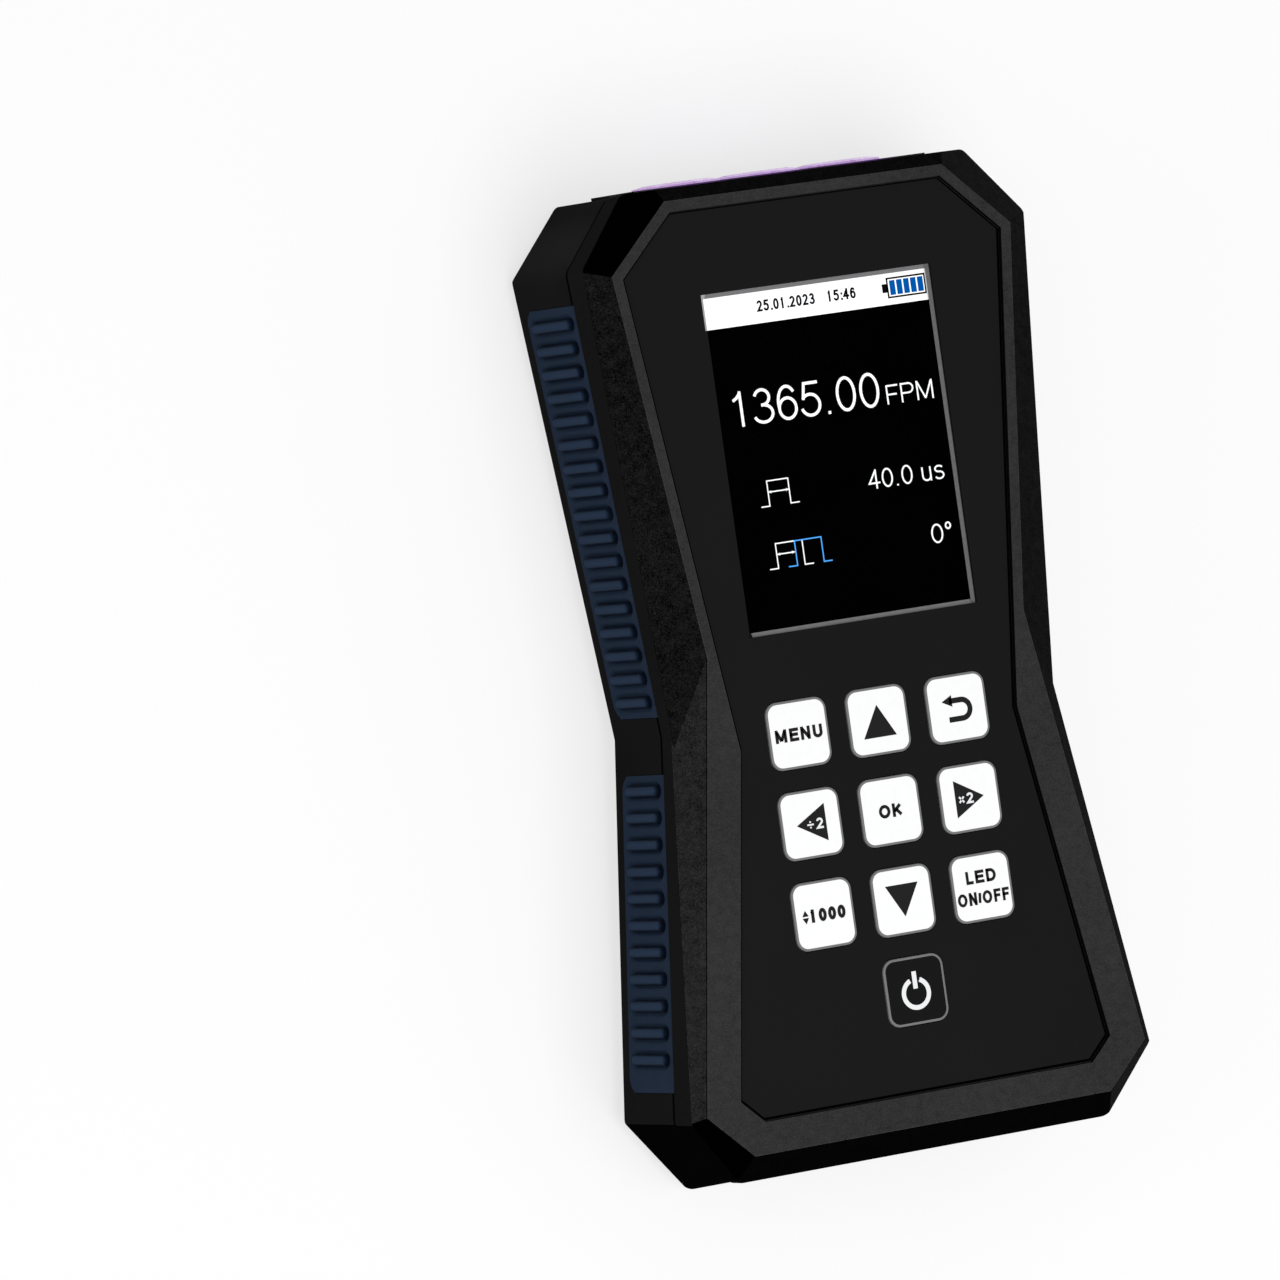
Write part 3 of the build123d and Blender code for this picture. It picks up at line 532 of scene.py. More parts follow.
def solder_mask():
    """Green board: glossy mask over the faint relief of its tracks."""
    finish = Finish("solder_mask", Specular_IOR_Level=0.5)
    tracks = finish.noise(1.8 * MM, 1.0, (1.0, 0.15, 1.0))
    ridge = (tracks > 0.55) * 1.0
    return finish.feed(Base_Color=finish.mix(ridge, (0.012, 0.085, 0.035), (0.02, 0.13, 0.055)),
                       Roughness=tracks * 0.1 + 0.25, Normal=finish.bump(ridge, 0.03 * MM))


def metal(name, dark, light, roughness, stretch):
    """Drawn, turned or extruded metal: fine scratches along one way."""
    finish = Finish(name, Metallic=1.0)
    scratch = finish.noise(0.5 * MM, 4.0, stretch)
    return finish.feed(Base_Color=finish.mix(scratch, dark, light),
                       Roughness=(scratch - 0.5) * 0.25 + roughness,
                       Normal=finish.bump(scratch, 0.004 * MM))


def soft_pad(name, dark, light, cell):
    """Foam or silicone: a soft skin of small cells."""
    finish = Finish(name, Specular_IOR_Level=0.3)
    cells = finish.node("ShaderNodeTexVoronoi", None, {"Vector": finish.place(), "Scale": 1 / cell})
    return finish.feed(Base_Color=finish.mix(cells, dark, light), Roughness=cells * 0.2 + 0.6,
                       Normal=finish.bump(cells, 0.03 * MM))


def diode_glow():
    """Lit diode: violet phosphor under a clear cap."""
    finish = Finish("diode_glow", Specular_IOR_Level=0.5, Emission_Strength=2.0)
    tone = finish.noise(0.6 * MM, 2.0)
    shade = finish.mix(tone, (0.45, 0.25, 0.85), (0.7, 0.5, 1.0))
    return finish.feed(Base_Color=shade, Emission_Color=shade, Roughness=tone * 0.1 + 0.2)


def paint_nodes():
    """Gives every node of the model that stays in view its own finish."""
    board = solder_mask()
    finishes = {
        "front_foil": printed_foil(),
        "display_frame": frame_painted_shading(),
        "display_window": clear_window(),
        "lcd_panel": display_black(),
        "key_mat": soft_pad("grey_silicone", (0.26, 0.27, 0.29), (0.36, 0.37, 0.39), 1.4 * MM),
        "battery_pad": soft_pad("foam_tape", (0.010, 0.010, 0.010), (0.022, 0.022, 0.022), 0.5 * MM),
        "main_board": board,
        "led_board": board,
        "led_emitters": diode_glow(),
        "board_screws": metal("board_screw_steel", *SCREW_STEEL),
        "usb_socket": metal("drawn_steel", (0.42, 0.42, 0.44), (0.6, 0.6, 0.62), 0.3, (1.0, 0.15, 1.0)),
        "heat_sink": metal("extruded_aluminium", (0.5, 0.5, 0.52), (0.68, 0.68, 0.7), 0.38, (1.0, 1.0, 0.1)),
        "battery_cell": metal("pouch_foil", (0.45, 0.46, 0.48), (0.62, 0.63, 0.65), 0.4, (0.3, 0.3, 0.3)),
        "lens_plate": lit_plate(),
    }
    for node, material in finishes.items():
        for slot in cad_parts[node].material_slots:
            slot.material = material


def merged(node):
    """Copy of a node's mesh with its points joined and the triangles of each flat face made one."""
    work = bmesh.new()
    work.from_mesh(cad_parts[node].data)
    bmesh.ops.remove_doubles(work, verts=work.verts, dist=MERGE_DISTANCE)
    bmesh.ops.dissolve_limit(work, angle_limit=FLAT_ANGLE, verts=work.verts, edges=work.edges)
    work.normal_update()
    return work


def place_piece(mesh, work, materials, body):
    """Fills a mesh from the worked one, gives it its materials and lets it ride on a body."""
    work.to_mesh(mesh)
    work.free()
    for material in materials:
        mesh.materials.append(material)
    piece = bpy.data.objects.new(mesh.name, mesh)
    bpy.context.scene.collection.objects.link(piece)
    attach(piece, body)
    return piece


def add_piece(name, points, faces, materials, body, slot):
    """Mesh of these points and faces, riding on a body, its coincident points joined."""
    mesh = bpy.data.meshes.new(name)
    mesh.from_pydata(points.reshape(-1, 3).tolist(), [], faces)
    work = bmesh.new()
    work.from_mesh(mesh)
    bmesh.ops.remove_doubles(work, verts=work.verts, dist=JOIN_DISTANCE)
    bmesh.ops.dissolve_degenerate(work, edges=work.edges, dist=JOIN_DISTANCE)
    bmesh.ops.recalc_face_normals(work, faces=work.faces)
    return place_piece(mesh, work, materials, body)


def joined(shells):
    """One set of points and faces from several closed shapes."""
    points, faces, start = [], [], 0
    for shape, sides in shells:
        points.append(shape)
        faces += [[corner + start for corner in side] for side in sides]
        start += len(shape)
    return np.vstack(points), faces


def smooth(piece, sharp):
    """Smooths a piece's faces except over edges sharper than this angle."""
    piece.data.shade_smooth()
    piece.data.set_sharp_from_angle(angle=math.radians(sharp))


def number_points(piece, name, values):
    """Gives a mesh one number at each point, for its material to read."""
    attribute = piece.data.attributes.new(name, "FLOAT", "POINT")
    attribute.data.foreach_set("value", values)


def mesh_points(mesh):
    """All points of a mesh, as rows of X, Y and Z."""
    flat = np.zeros(len(mesh.vertices) * 3)
    mesh.vertices.foreach_get("co", flat)
    return flat.reshape(-1, 3)


def grid_faces(rows, columns):
    """Four-sided faces of a grid of points, closed round its columns."""
    row, column = np.meshgrid(np.arange(rows - 1), np.arange(columns), indexing="ij")
    beside = (column + 1) % columns
    corners = (row * columns + column, row * columns + beside,
               (row + 1) * columns + beside, (row + 1) * columns + column)
    return np.stack(corners, -1).reshape(-1, 4).tolist()


def whole_turn(steps=TURN_STEPS):
    """Even angles of one whole turn."""
    return np.linspace(0, 2 * math.pi, steps, endpoint=False)


def turned(distance, height, middle):
    """Grid of points of a profile of distance and height turned about an upright axis."""
    turn = whole_turn()
    x = middle[0] + distance * np.cos(turn)
    y = middle[1] + distance * np.sin(turn)
    return np.stack([x, y, np.broadcast_to(height, x.shape)], -1)


def outer_faces(work, looks_out):
    """Faces that look out by the rule and have nothing of the shell in front of them."""
    work.normal_update()
    tree = BVHTree.FromBMesh(work)
    outer = set()
    for face in work.faces:
        start = face.calc_center_median() + face.normal * 0.05 * MM
        if looks_out(face.normal) and tree.ray_cast(start, face.normal)[0] is None:
            outer.add(face)
    return outer


def round_edges(work, looks_out, offset, segments, wanted):
    """Rounds the convex edges between two outer faces that a rule picks by the two directions."""
    outer = outer_faces(work, looks_out)
    chosen = []
    for edge in work.edges:
        both = len(edge.link_faces) == 2 and all(face in outer for face in edge.link_faces)
        if both and edge.is_convex and edge.calc_face_angle() > CREASE:
            if wanted(*(face.normal for face in edge.link_faces)):
                chosen.append(edge)
    bmesh.ops.bevel(work, geom=chosen, offset=offset, offset_type="OFFSET", segments=segments,
                    profile=0.5, affect="EDGES", clamp_overlap=True)


def make_shell(node, looks_out, tones, upright_round, material):
    """Shell from a merged copy of its node, with its outer edges rounded.

    Each outer face gets two numbers by its direction and size: how pale, which is mostly painted light and
    shade, and how coarse it is.
    """
    work = merged(node)
    if upright_round:
        round_edges(work, looks_out, upright_round, 5,
                    lambda one, two: abs(one.z) + abs(two.z) < UPRIGHT_TILT)
    round_edges(work, looks_out, EDGE_ROUND, 3, lambda one, two: True)
    pale = work.faces.layers.float.new("painted_shade_and_tone")
    grain = work.faces.layers.float.new("grain")
    outer = outer_faces(work, looks_out)
    for face in work.faces:
        face[pale], face[grain] = tones(face.normal, face.calc_area()) if face in outer else (0.1, 0.2)
        face.smooth = False
    piece = place_piece(bpy.data.meshes.new(f"{node}_moulding"), work, [material], CASE)
    stored = piece.data.attributes
    if "custom_normal" in stored:
        stored.remove(stored["custom_normal"])
    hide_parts(node)


def front_painted_shading(normal, area):
    """How pale and how coarse a face of the front shell is, by its direction and size.

    The paleness is mostly painted light and shade by direction. The rim is pale, partly its own smoother
    finish; the long bevels are coarse and dark, the lower ones paler; the short bevels at the corners and
    ends are the darkest, painted shade.
    """
    if normal.z > FLAT_TOP:
        return 0.66, 0.55
    if normal.z < FACES_UP:
        if normal.y < -0.4:
            return 0.0, 0.0
        return (0.45, 0.3) if normal.y > 0.9 else (0.18, 0.1)
    # Thin edge strips: a painted highlight where they face up, painted shade elsewhere.
    if area < EDGE_AREA:
        return (0.95, 0.9) if normal.z > 0.93 else (0.02, 0.6)
    if abs(normal.x) < 0.3:
        return (0.02, 0.1) if normal.y < 0 else (0.07, 0.3)
    if abs(normal.y) > 0.25:
        return (0.0, 0.0) if normal.x < 0 else (0.2, 0.4)
    if normal.x > 0:
        return 0.16, 0.5
    return (0.14, 0.9) if normal.y < 0 else (0.36, 0.9)


def rear_painted_shading(normal, area):
    """How pale and how coarse a face of the rear shell is.

    The head wall is the palest and the foot end the darkest: painted light and shade by face direction.
    """
    if normal.y < -0.4:
        return 0.0, 0.2
    if area > EDGE_AREA and normal.y > 0.9:
        return 0.9, 0.2
    return 0.15, 0.2


def rounded_square(half, radius, steps=8):
    """Outline of a rounded square, for arrays of half sizes and corner radii.

    Each corner is a quarter circle round a middle that lies a radius inside both sides.
    """
    quarter = np.linspace(0, math.pi / 2, steps)
    turns = np.concatenate([quarter + side * math.pi / 2 for side in range(4)])
    sign_x = np.repeat([1, -1, -1, 1], steps)
    sign_y = np.repeat([1, 1, -1, -1], steps)
    inner = (half - radius)[:, None]
    x = sign_x * inner + radius[:, None] * np.cos(turns)
    y = sign_y * inner + radius[:, None] * np.sin(turns)
    return x, y


def make_key(node, face, edge, slot):
    """Key: rounded squares stacked along a profile of half size, corner radius and height.

    The profile runs up the stem, out under the flange, up the cap, round its edge by a
    quarter circle and in over the top, past the band of painted edge shade.
    """
    low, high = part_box(node)
    middle = (low + high) / 2
    flange_half = (high.x - low.x) / 2
    half = flange_half - KEY_FLANGE
    cap_foot = high.z - KEY_CAP_BELOW_TOP
    cap_low = cap_foot - KEY_FLANGE_DEPTH
    profile = [
        (0.0, 0.0, low.z), (KEY_STEM_HALF, KEY_STEM_ROUND, low.z), (KEY_STEM_HALF, KEY_STEM_ROUND, cap_low),
        (flange_half, KEY_STEM_ROUND, cap_low), (flange_half, KEY_STEM_ROUND, cap_foot),
        (half, KEY_CORNER_RADIUS, cap_foot),
    ]
    for turn in np.linspace(0, math.pi / 2, 6):
        inset = KEY_EDGE_ROUND * (1 - math.cos(turn))
        rise = KEY_EDGE_ROUND * (1 - math.sin(turn))
        profile.append((half - inset, KEY_CORNER_RADIUS - inset, high.z - rise))
    profile.append((half - KEY_EDGE_SHADE_BAND, KEY_CORNER_RADIUS - KEY_EDGE_SHADE_BAND, high.z))
    profile.append((0.0, 0.0, high.z))
    halves, radii, heights = np.array(profile).T
    x, y = rounded_square(halves, radii)
    z = np.broadcast_to(heights[:, None], x.shape)
    points = np.stack([x + middle.x, y + middle.y, z], -1)
    piece = add_piece(f"{node}_cap", points, grid_faces(*x.shape), [face, edge], node, slot)
    corner = half - KEY_CORNER_RADIUS
    for polygon in piece.data.polygons:
        aside = [max(abs(polygon.center[axis] - middle[axis]) - corner, 0) for axis in (0, 1)]
        inside = math.hypot(*aside) < KEY_CORNER_RADIUS - KEY_EDGE_SHADE_BAND
        # The sides, rounded edge and outer band of the top get the grey painted edge shade.
        polygon.material_index = 0 if inside and polygon.center.z > high.z - PRINT_THICKNESS else 1
    smooth(piece, 35.0)
    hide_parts(node)


def oval(x, y, across, up, start=90, end=450, steps=28):
    """Part of an ellipse from its middle and half sizes, the angles in degrees."""
    turns = np.radians(np.linspace(start, end, steps))
    return np.column_stack([x + across * np.cos(turns), y + up * np.sin(turns)]).tolist()


def dot(x, y):
    """The shortest upright line: with its ends drawn out it is a square dot."""
    return [(x, y), (x, y + 0.001)]


def letter_shapes():
    """Plain sans-serif letters: where each starts, its width, its advance, and its middle lines.

    All are in capital heights, and the middle lines run from 0 to 1 over the letter's own box.
    """
    stem = [(0, 0), (0, 1)]
    far_stem = [(1, 0), (1, 1)]
    ring = oval(0.5, 0.5, 0.5, 0.5)
    return {
        " ": (0.0, 0.0, 0.39, []),
        ".": (0.13, 0.0, 0.39, [dot(0, 0)]),
        ":": (0.13, 0.0, 0.39, [dot(0, 0), dot(0, 0.6)]),
        "/": (0.0, 0.36, 0.39, [[(0, 0), (1, 1)]]),
        "0": (0.06, 0.65, 0.777, [ring]),
        "1": (0.15, 0.33, 0.777, [far_stem, [(0, 0.77), (0.55, 0.85), (0.95, 0.97)]]),
        "2": (0.05, 0.65, 0.777, [oval(0.49, 0.72, 0.47, 0.28, 168, -32) + [(0.04, 0.0), (1, 0)]]),
        "3": (0.06, 0.65, 0.777, [oval(0.46, 0.765, 0.42, 0.235, 165, -90),
                                  oval(0.46, 0.265, 0.54, 0.265, 90, -163)]),
        "4": (0.03, 0.69, 0.777, [[(0.7, 1), (0, 0.28), (1, 0.28)], [(0.7, 0), (0.7, 1)]]),
        "5": (0.06, 0.65, 0.777, [[(0.92, 1), (0.2, 1), (0.07, 0.5)],
                                  oval(0.46, 0.325, 0.54, 0.325, 142, -163)]),
        "6": (0.06, 0.65, 0.777, [oval(0.52, 0.5, 0.52, 0.5, 38, 190), oval(0.51, 0.32, 0.49, 0.32)]),
        "D": (0.11, 0.83, 1.01, [stem, [(0, 1)] + oval(0.42, 0.5, 0.58, 0.5, 90, -90) + [(0, 0)]]),
        "E": (0.11, 0.76, 0.93, [[(1, 1), (0, 1), (0, 0), (1, 0)], [(0, 0.52), (0.9, 0.52)]]),
        "F": (0.12, 0.69, 0.85, [[(1, 1), (0, 1), (0, 0)], [(0, 0.5), (0.85, 0.5)]]),
        "K": (0.10, 0.83, 0.93, [stem, [(0.95, 1), (0.04, 0.36)], [(0.33, 0.58), (1, 0)]]),
        "L": (0.10, 0.62, 0.78, [[(0, 1), (0, 0), (1, 0)]]),
        "M": (0.10, 0.95, 1.16, [stem, far_stem, [(0.03, 1), (0.5, 0.02)], [(0.97, 1), (0.5, 0.02)]]),
        "N": (0.11, 0.79, 1.01, [stem, far_stem, [(0.03, 1), (0.97, 0)]]),
        "O": (0.07, 0.95, 1.09, [ring]),
        "P": (0.11, 0.76, 0.93, [stem, [(0, 1)] + oval(0.62, 0.735, 0.38, 0.265, 90, -90) + [(0, 0.47)]]),
        "U": (0.11, 0.79, 1.01, [[(0, 1)] + oval(0.5, 0.33, 0.5, 0.33, 180, 360) + [(1, 1)]]),
        "s": (0.05, 0.58, 0.70, [oval(0.5, 0.56, 0.46, 0.165, 28, 270) + oval(0.5, 0.2, 0.5, 0.2, 88, -158)]),
        "u": (0.09, 0.56, 0.78, [[(0, 0.72)] + oval(0.5, 0.25, 0.5, 0.25, 180, 360), [(1, 0), (1, 0.72)]]),
        "°": (0.08, 0.34, 0.56, [oval(0.5, 0.86, 0.5, 0.17)]),
        "÷": (0.05, 0.68, 0.78, [[(0, 0.46), (1, 0.46)], dot(0.5, 0.12), dot(0.5, 0.8)]),
        "×": (0.06, 0.62, 0.78, [[(0, 0.08), (1, 0.84)], [(0, 0.84), (1, 0.08)]]),
    }


LETTERS = letter_shapes()


def band(line, width):
    """Inked line: a flat bar's section carried along the line, and its ends closed.

    At a corner the section is as wide as the bar over the cosine of half the turn.  An end
    that runs along X or Y is drawn out by half the width, as a square pen would leave it.
    """
    line = np.array(line, float)
    closed = np.allclose(line[0], line[-1])
    if not closed:
        for end, beside in ((0, 1), (-1, -2)):
            way = (line[end] - line[beside]) / np.linalg.norm(line[end] - line[beside])
            if np.abs(way).max() > 0.995:
                line[end] += way * width / 2
    side = sideways(line, closed) * width / 2
    return strip(line + side, line - side, closed)


def sideways(line, closed):
    """Step to the left of each point that is one unit away from both parts of the line there."""
    steps = np.diff(line, axis=0)
    steps /= np.linalg.norm(steps, axis=1)[:, None]
    before = np.vstack([steps[-1:] if closed else steps[:1], steps])
    after = np.vstack([steps, steps[:1] if closed else steps[-1:]])
    middle = before + after
    return np.column_stack([-middle[:, 1], middle[:, 0]]) / (1 + (before * after).sum(1))[:, None]


def strip(left, right, closed):
    """Flat ink between two lines, raised by its thickness."""
    low = np.zeros(len(left))
    high = np.full(len(left), PRINT_THICKNESS)
    section = [np.column_stack([edge, level]) for edge, level in
               ((left, low), (right, low), (right, high), (left, high))]
    faces = grid_faces(len(left), 4)
    if not closed:
        last = 4 * (len(left) - 1)
        faces += [[0, 1, 2, 3], [last + 3, last + 2, last + 1, last]]
    return np.stack(section, 1).reshape(-1, 3), faces


def blank(outline):
    """Printed shape with straight sides, raised by the thickness of the ink."""
    flat = np.asarray(outline, float)
    count = len(flat)
    points = np.vstack([np.column_stack([flat, np.full(count, level)]) for level in (0, PRINT_THICKNESS)])
    faces = grid_faces(2, count) + [list(range(count)), list(range(count, 2 * count))]
    return points, faces


def letters(words, box, width):
    """Lettering stretched to a box of left, right, foot and top, drawn with one width of pen."""
    left, right, foot, top = box
    pen = 0.0
    spans = []
    for letter in words:
        start, size, advance, lines = LETTERS[letter]
        spans.append((pen + start, size, lines))
        pen += advance
    first, last = spans[0], spans[-1]
    scale = (right - left) / (last[0] + last[1] - first[0])
    shells = []
    for place, size, lines in spans:
        corner = np.array([left + width / 2 + (place - first[0]) * scale, foot + width / 2])
        reach = (max(size * scale - width, 0.0), top - foot - width)
        for line in lines:
            shells.append(band(np.asarray(line) * reach + corner, width))
    return shells


def make_print(name, shells, base, body, material, slot):
    """One piece of ink from several closed shapes, lying on a level."""
    points, faces = joined(shells)
    add_piece(name, points + np.array([0, 0, base]), faces, [material], body, slot)


def box_outline(left, right, low, high):
    """Corners of an upright rectangle."""
    return [(left, low), (right, low), (right, high), (left, high)]


def moved(shape, middle=(0, 0), scale=MM):
    """A drawing in millimetres brought to its size and place."""
    return (np.asarray(shape) * scale + np.asarray(middle)).tolist()


def make_legends(dark, pale):
    """Symbols and words on the ten keys, each riding on its key; sizes are in millimetres."""
    def put(node, shells, ink=dark, name="legend", layer=0):
        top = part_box(node)[1].z + layer * PRINT_THICKNESS
        make_print(f"{node}_{name}", shells, top, node, ink, "key_white" if ink is pale else "key_black")

    def middle(node):
        low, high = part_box(node)
        return ((low.x + high.x) / 2, (low.y + high.y) / 2)

    def words(node, text, centre, size, width):
        x, y = middle(node)
        x, y = x + centre[0] * MM, y + centre[1] * MM
        across, up = size[0] / 2 * MM, size[1] / 2 * MM
        return letters(text, (x - across, x + across, y - up, y + up), width * MM)

    def shapes(node, *outlines):
        return [blank(moved(outline, middle(node))) for outline in outlines]

    def line(node, points, width):
        return [band(moved(points, middle(node)), width * MM)]

    put("key_menu", words("key_menu", "MENU", (0.0, 0.0), (8.83, 2.2), 0.56))
    put("key_ok", words("key_ok", "OK", (-0.05, 0.0), (4.42, 2.25), 0.56))
    put("key_led", words("key_led", "LED", (0.0, 1.79), (5.7, 2.17), 0.53)
        + words("key_led", "ON/OFF", (0.0, -1.75), (9.8, 2.17), 0.5))
    put("key_step", words("key_step", "1000", (0.73, 0.0), (6.58, 2.2), 0.6)
        + shapes("key_step", [(-4.06, 0.08), (-2.86, 0.08), (-3.46, 1.08)],
                 [(-4.06, -0.17), (-3.46, -1.17), (-2.86, -0.17)]))
    put("key_up", shapes("key_up", [(-3.09, -2.7), (3.09, -2.7), (0.0, 2.67)]))
    put("key_down", shapes("key_down", [(-3.09, 2.73), (0.0, -2.65), (3.09, 2.73)]))
    put("key_halve", shapes("key_halve", [(2.77, -3.12), (2.77, 3.12), (-2.73, 0.0)]))
    put("key_double", shapes("key_double", [(-2.75, -3.12), (2.67, 0.0), (-2.75, 3.12)]))
    put("key_halve", words("key_halve", "÷", (-0.2, -0.05), (1.2, 1.6), 0.28)
        + words("key_halve", "2", (1.55, -0.05), (1.29, 1.8), 0.36), pale, "sum", 1)
    put("key_double", words("key_double", "×", (-1.58, -0.1), (1.2, 1.6), 0.32)
        + words("key_double", "2", (0.0, -0.05), (1.29, 1.8), 0.36), pale, "sum", 1)
    bend = [(-0.95, 1.3)] + oval(0.82, -0.25, 1.55, 1.55, 90, -90) + [(-1.3, -1.8)]
    put("key_back", line("key_back", bend, 0.92)
        + shapes("key_back", [(-2.8, 1.3), (-0.87, 0.32), (-0.87, 2.27)]))
    ring = oval(0.0, -0.5, 2.35, 2.35, 112, 428, 48)
    bar = [(0.0, 0.71), (0.0, 2.76)]
    put("key_power", line("key_power", ring, 0.79) + line("key_power", bar, 0.83), pale)


def top_outline(node):
    """Outer outline of a flat node's top, as a closed line that runs against the clock."""
    work = merged(node)
    top = max(vertex.co.z for vertex in work.verts) - 0.01 * MM
    ways = {}
    for face in work.faces:
        if face.normal.z < 0.99 or face.calc_center_median().z < top:
            continue
        for loop in face.loops:
            beyond = [other for other in loop.edge.link_faces if other is not face]
            if beyond[0].normal.z < 0.99:
                ways[tuple(loop.vert.co.xy)] = tuple(loop.link_loop_next.vert.co.xy)
    work.free()
    start = max(ways)
    line = [start, ways[start]]
    while line[-1] != start:
        line.append(ways[line[-1]])
    return np.array(line)


def make_foil_edge_shadow(ink):
    """Black band of painted shadow round the foil's edge, where the recess wall casts shade, shifted so that
    it is wider on two sides.
    """
    outer = top_outline("front_foil")
    side = sideways(outer, True)
    shift = np.array([-FOIL_EDGE_SHADOW_SHIFT, FOIL_EDGE_SHADOW_SHIFT])
    inner = outer + side * FOIL_EDGE_SHADOW + shift
    border = strip(inner, outer + side * 0.02 * MM, True)
    make_print("foil_edge_shadow", [border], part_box("front_foil")[1].z, CASE, ink, "foil")


def make_picture():
    """The lit picture of the display: status bar, figures, battery sign and pulse signs.

    Sizes are in millimetres, and every outline but the status bar's, which is taken from the frame's box, is
    brought onto the panel by one shift.
    """
    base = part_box("lcd_panel")[1].z
    white = satin_ink("screen_white", (0.93, 0.94, 0.95), 0.5, glow=0.35, specular=0.0)
    figure = satin_ink("screen_figures", (0.90, 0.91, 0.92), 0.5, glow=0.3, specular=0.0)
    black = satin_ink("screen_black", (0.004, 0.004, 0.005), 0.5, specular=0.0)
    blue = satin_ink("screen_blue", BAR_BLUE, 0.5, glow=0.2, specular=0.0)
    pale_blue = satin_ink("screen_pulse", PULSE_BLUE, 0.5, glow=0.3, specular=0.0)
    scale = np.array([PICTURE_SHRINK, 1.0]) * MM
    shift = np.array(PICTURE_SHIFT) * MM

    def draw(name, shells, ink, layer=0):
        make_print(f"display_{name}", shells, base + layer * PRINT_THICKNESS, CASE, ink, "display")

    def boxes(*outlines):
        return [blank(moved(box_outline(*outline), shift, scale)) for outline in outlines]

    def lines(*paths, width=0.2):
        return [band(moved(path, shift, scale), width * MM) for path in paths]

    def arrow(tip, y, way):
        back = tip + 0.5 * way
        return blank(moved([(tip, y), (back, y + 0.25), (back, y - 0.25)], shift, scale))

    def figures(text, left, right, foot, top, width):
        (left, foot), (right, top) = moved([(left, foot), (right, top)], shift, scale)
        return letters(text, (left, right, foot, top), width * MM)

    def pulse(start, foot, rise, top, fall, end):
        return [(start, foot), (rise, foot), (rise, top), (fall, top), (fall, foot), (end, foot)]

    low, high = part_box("display_frame")
    bar = box_outline(low.x, high.x, high.y - FRAME_BAND - BAR_HEIGHT, high.y)
    draw("bar", [blank(bar)], white)
    draw("date", figures("25.01.2023", -10.45, 0.55, 59.85, 61.7, BAR_STROKE), black, 1)
    draw("time", figures("15:46", 3.0, 8.35, 59.85, 61.7, BAR_STROKE), black, 1)
    draw("battery_body", boxes((14.35, 21.8, 59.0, 62.45), (13.45, 14.5, 60.0, 61.45)), black, 1)
    draw("battery_inside", boxes((14.65, 21.5, 59.3, 62.15)), white, 2)
    draw("battery_bars", boxes(*[(left, left + 1.05, 59.5, 61.95) for left in np.linspace(14.9, 20.25, 5)]),
         blue, 3)
    draw("speed", figures("1365.00", -17.6, 10.25, 41.5, 47.35, FIGURE_STROKE), figure)
    draw("unit", figures("FPM", 11.5, 20.4, 41.65, 44.85, SMALL_STROKE), figure)
    draw("width", figures("40.0 us", 5.85, 20.35, 28.15, 31.35, SMALL_STROKE), figure)
    draw("phase", figures("0°", 16.3, 20.25, 17.7, 20.95, SMALL_STROKE), figure)
    draw("width_sign", lines(pulse(-14.65, 27.95, -13.15, 32.1, -9.15, -7.6), [(-13.0, 30.25), (-9.3, 30.25)])
         + [arrow(-13.05, 30.25, 1), arrow(-9.25, 30.25, -1)], figure)
    draw("phase_sign", lines(pulse(-14.65, 17.6, -13.15, 21.7, -8.1, -6.55), [(-13.0, 19.9), (-9.8, 19.9)])
         + [arrow(-13.05, 19.9, 1), arrow(-9.75, 19.9, -1)], figure)
    draw("phase_shift", lines(pulse(-11.1, 17.6, -9.55, 21.7, -4.5, -3.0)), pale_blue, 1)


def make_lens(node, material):
    """Lens: six-sided and round outlines blended along a profile of radius and height.

    Each point lies at its outline's distance in its direction: the six-sided one's is
    the corner distance times the cosine of half a side's angle, over the cosine of the
    angle from the nearest flat.
    """
    low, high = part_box(node)
    middle = (low + high) / 2
    plate_low, plate_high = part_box("lens_plate")
    flange_back = plate_low.y - LENS_FLANGE
    well, back, body = (LENS_RADIUS * share for share in LENS_BACK)
    profile = [
        (0.0, 1.0, low.y + LENS_WELL), (well, 1.0, low.y + LENS_WELL), (well, 1.0, low.y),
        (back, 1.0, low.y), (body, 1.0, flange_back), (LENS_RADIUS, 1.0, flange_back),
        (LENS_RADIUS, 1.0, plate_low.y), (LENS_RADIUS, 0.0, plate_low.y),
        (LENS_RADIUS, 0.0, plate_high.y + LENS_FACET_RISE), (LENS_TABLE_RADIUS, 0.0, high.y),
    ]
    for share, depth in BOWL_SECTION:
        profile.append((LENS_BOWL_RADIUS * share, 1.0, high.y - LENS_BOWL_DEPTH * depth))
    radius, roundness, height = np.array(profile).T
    turn = whole_turn(LENS_SIDES * 16)
    sector = 2 * math.pi / LENS_SIDES
    from_flat = (turn + sector / 2) % sector - sector / 2
    six = math.cos(sector / 2) / np.cos(from_flat)
    reach = radius[:, None] * (roundness[:, None] + (1 - roundness[:, None]) * six)
    x = middle.x + reach * np.cos(turn)
    z = middle.z + reach * np.sin(turn)
    y = np.broadcast_to(height[:, None], x.shape)
    points = np.stack([x, y, z], -1)
    piece = add_piece(f"{node}_optic", points, grid_faces(*x.shape), [material], CASE, "lens")
    smooth(piece, 14.0)
    shade_facets(piece, middle, sector)
    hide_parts(node)


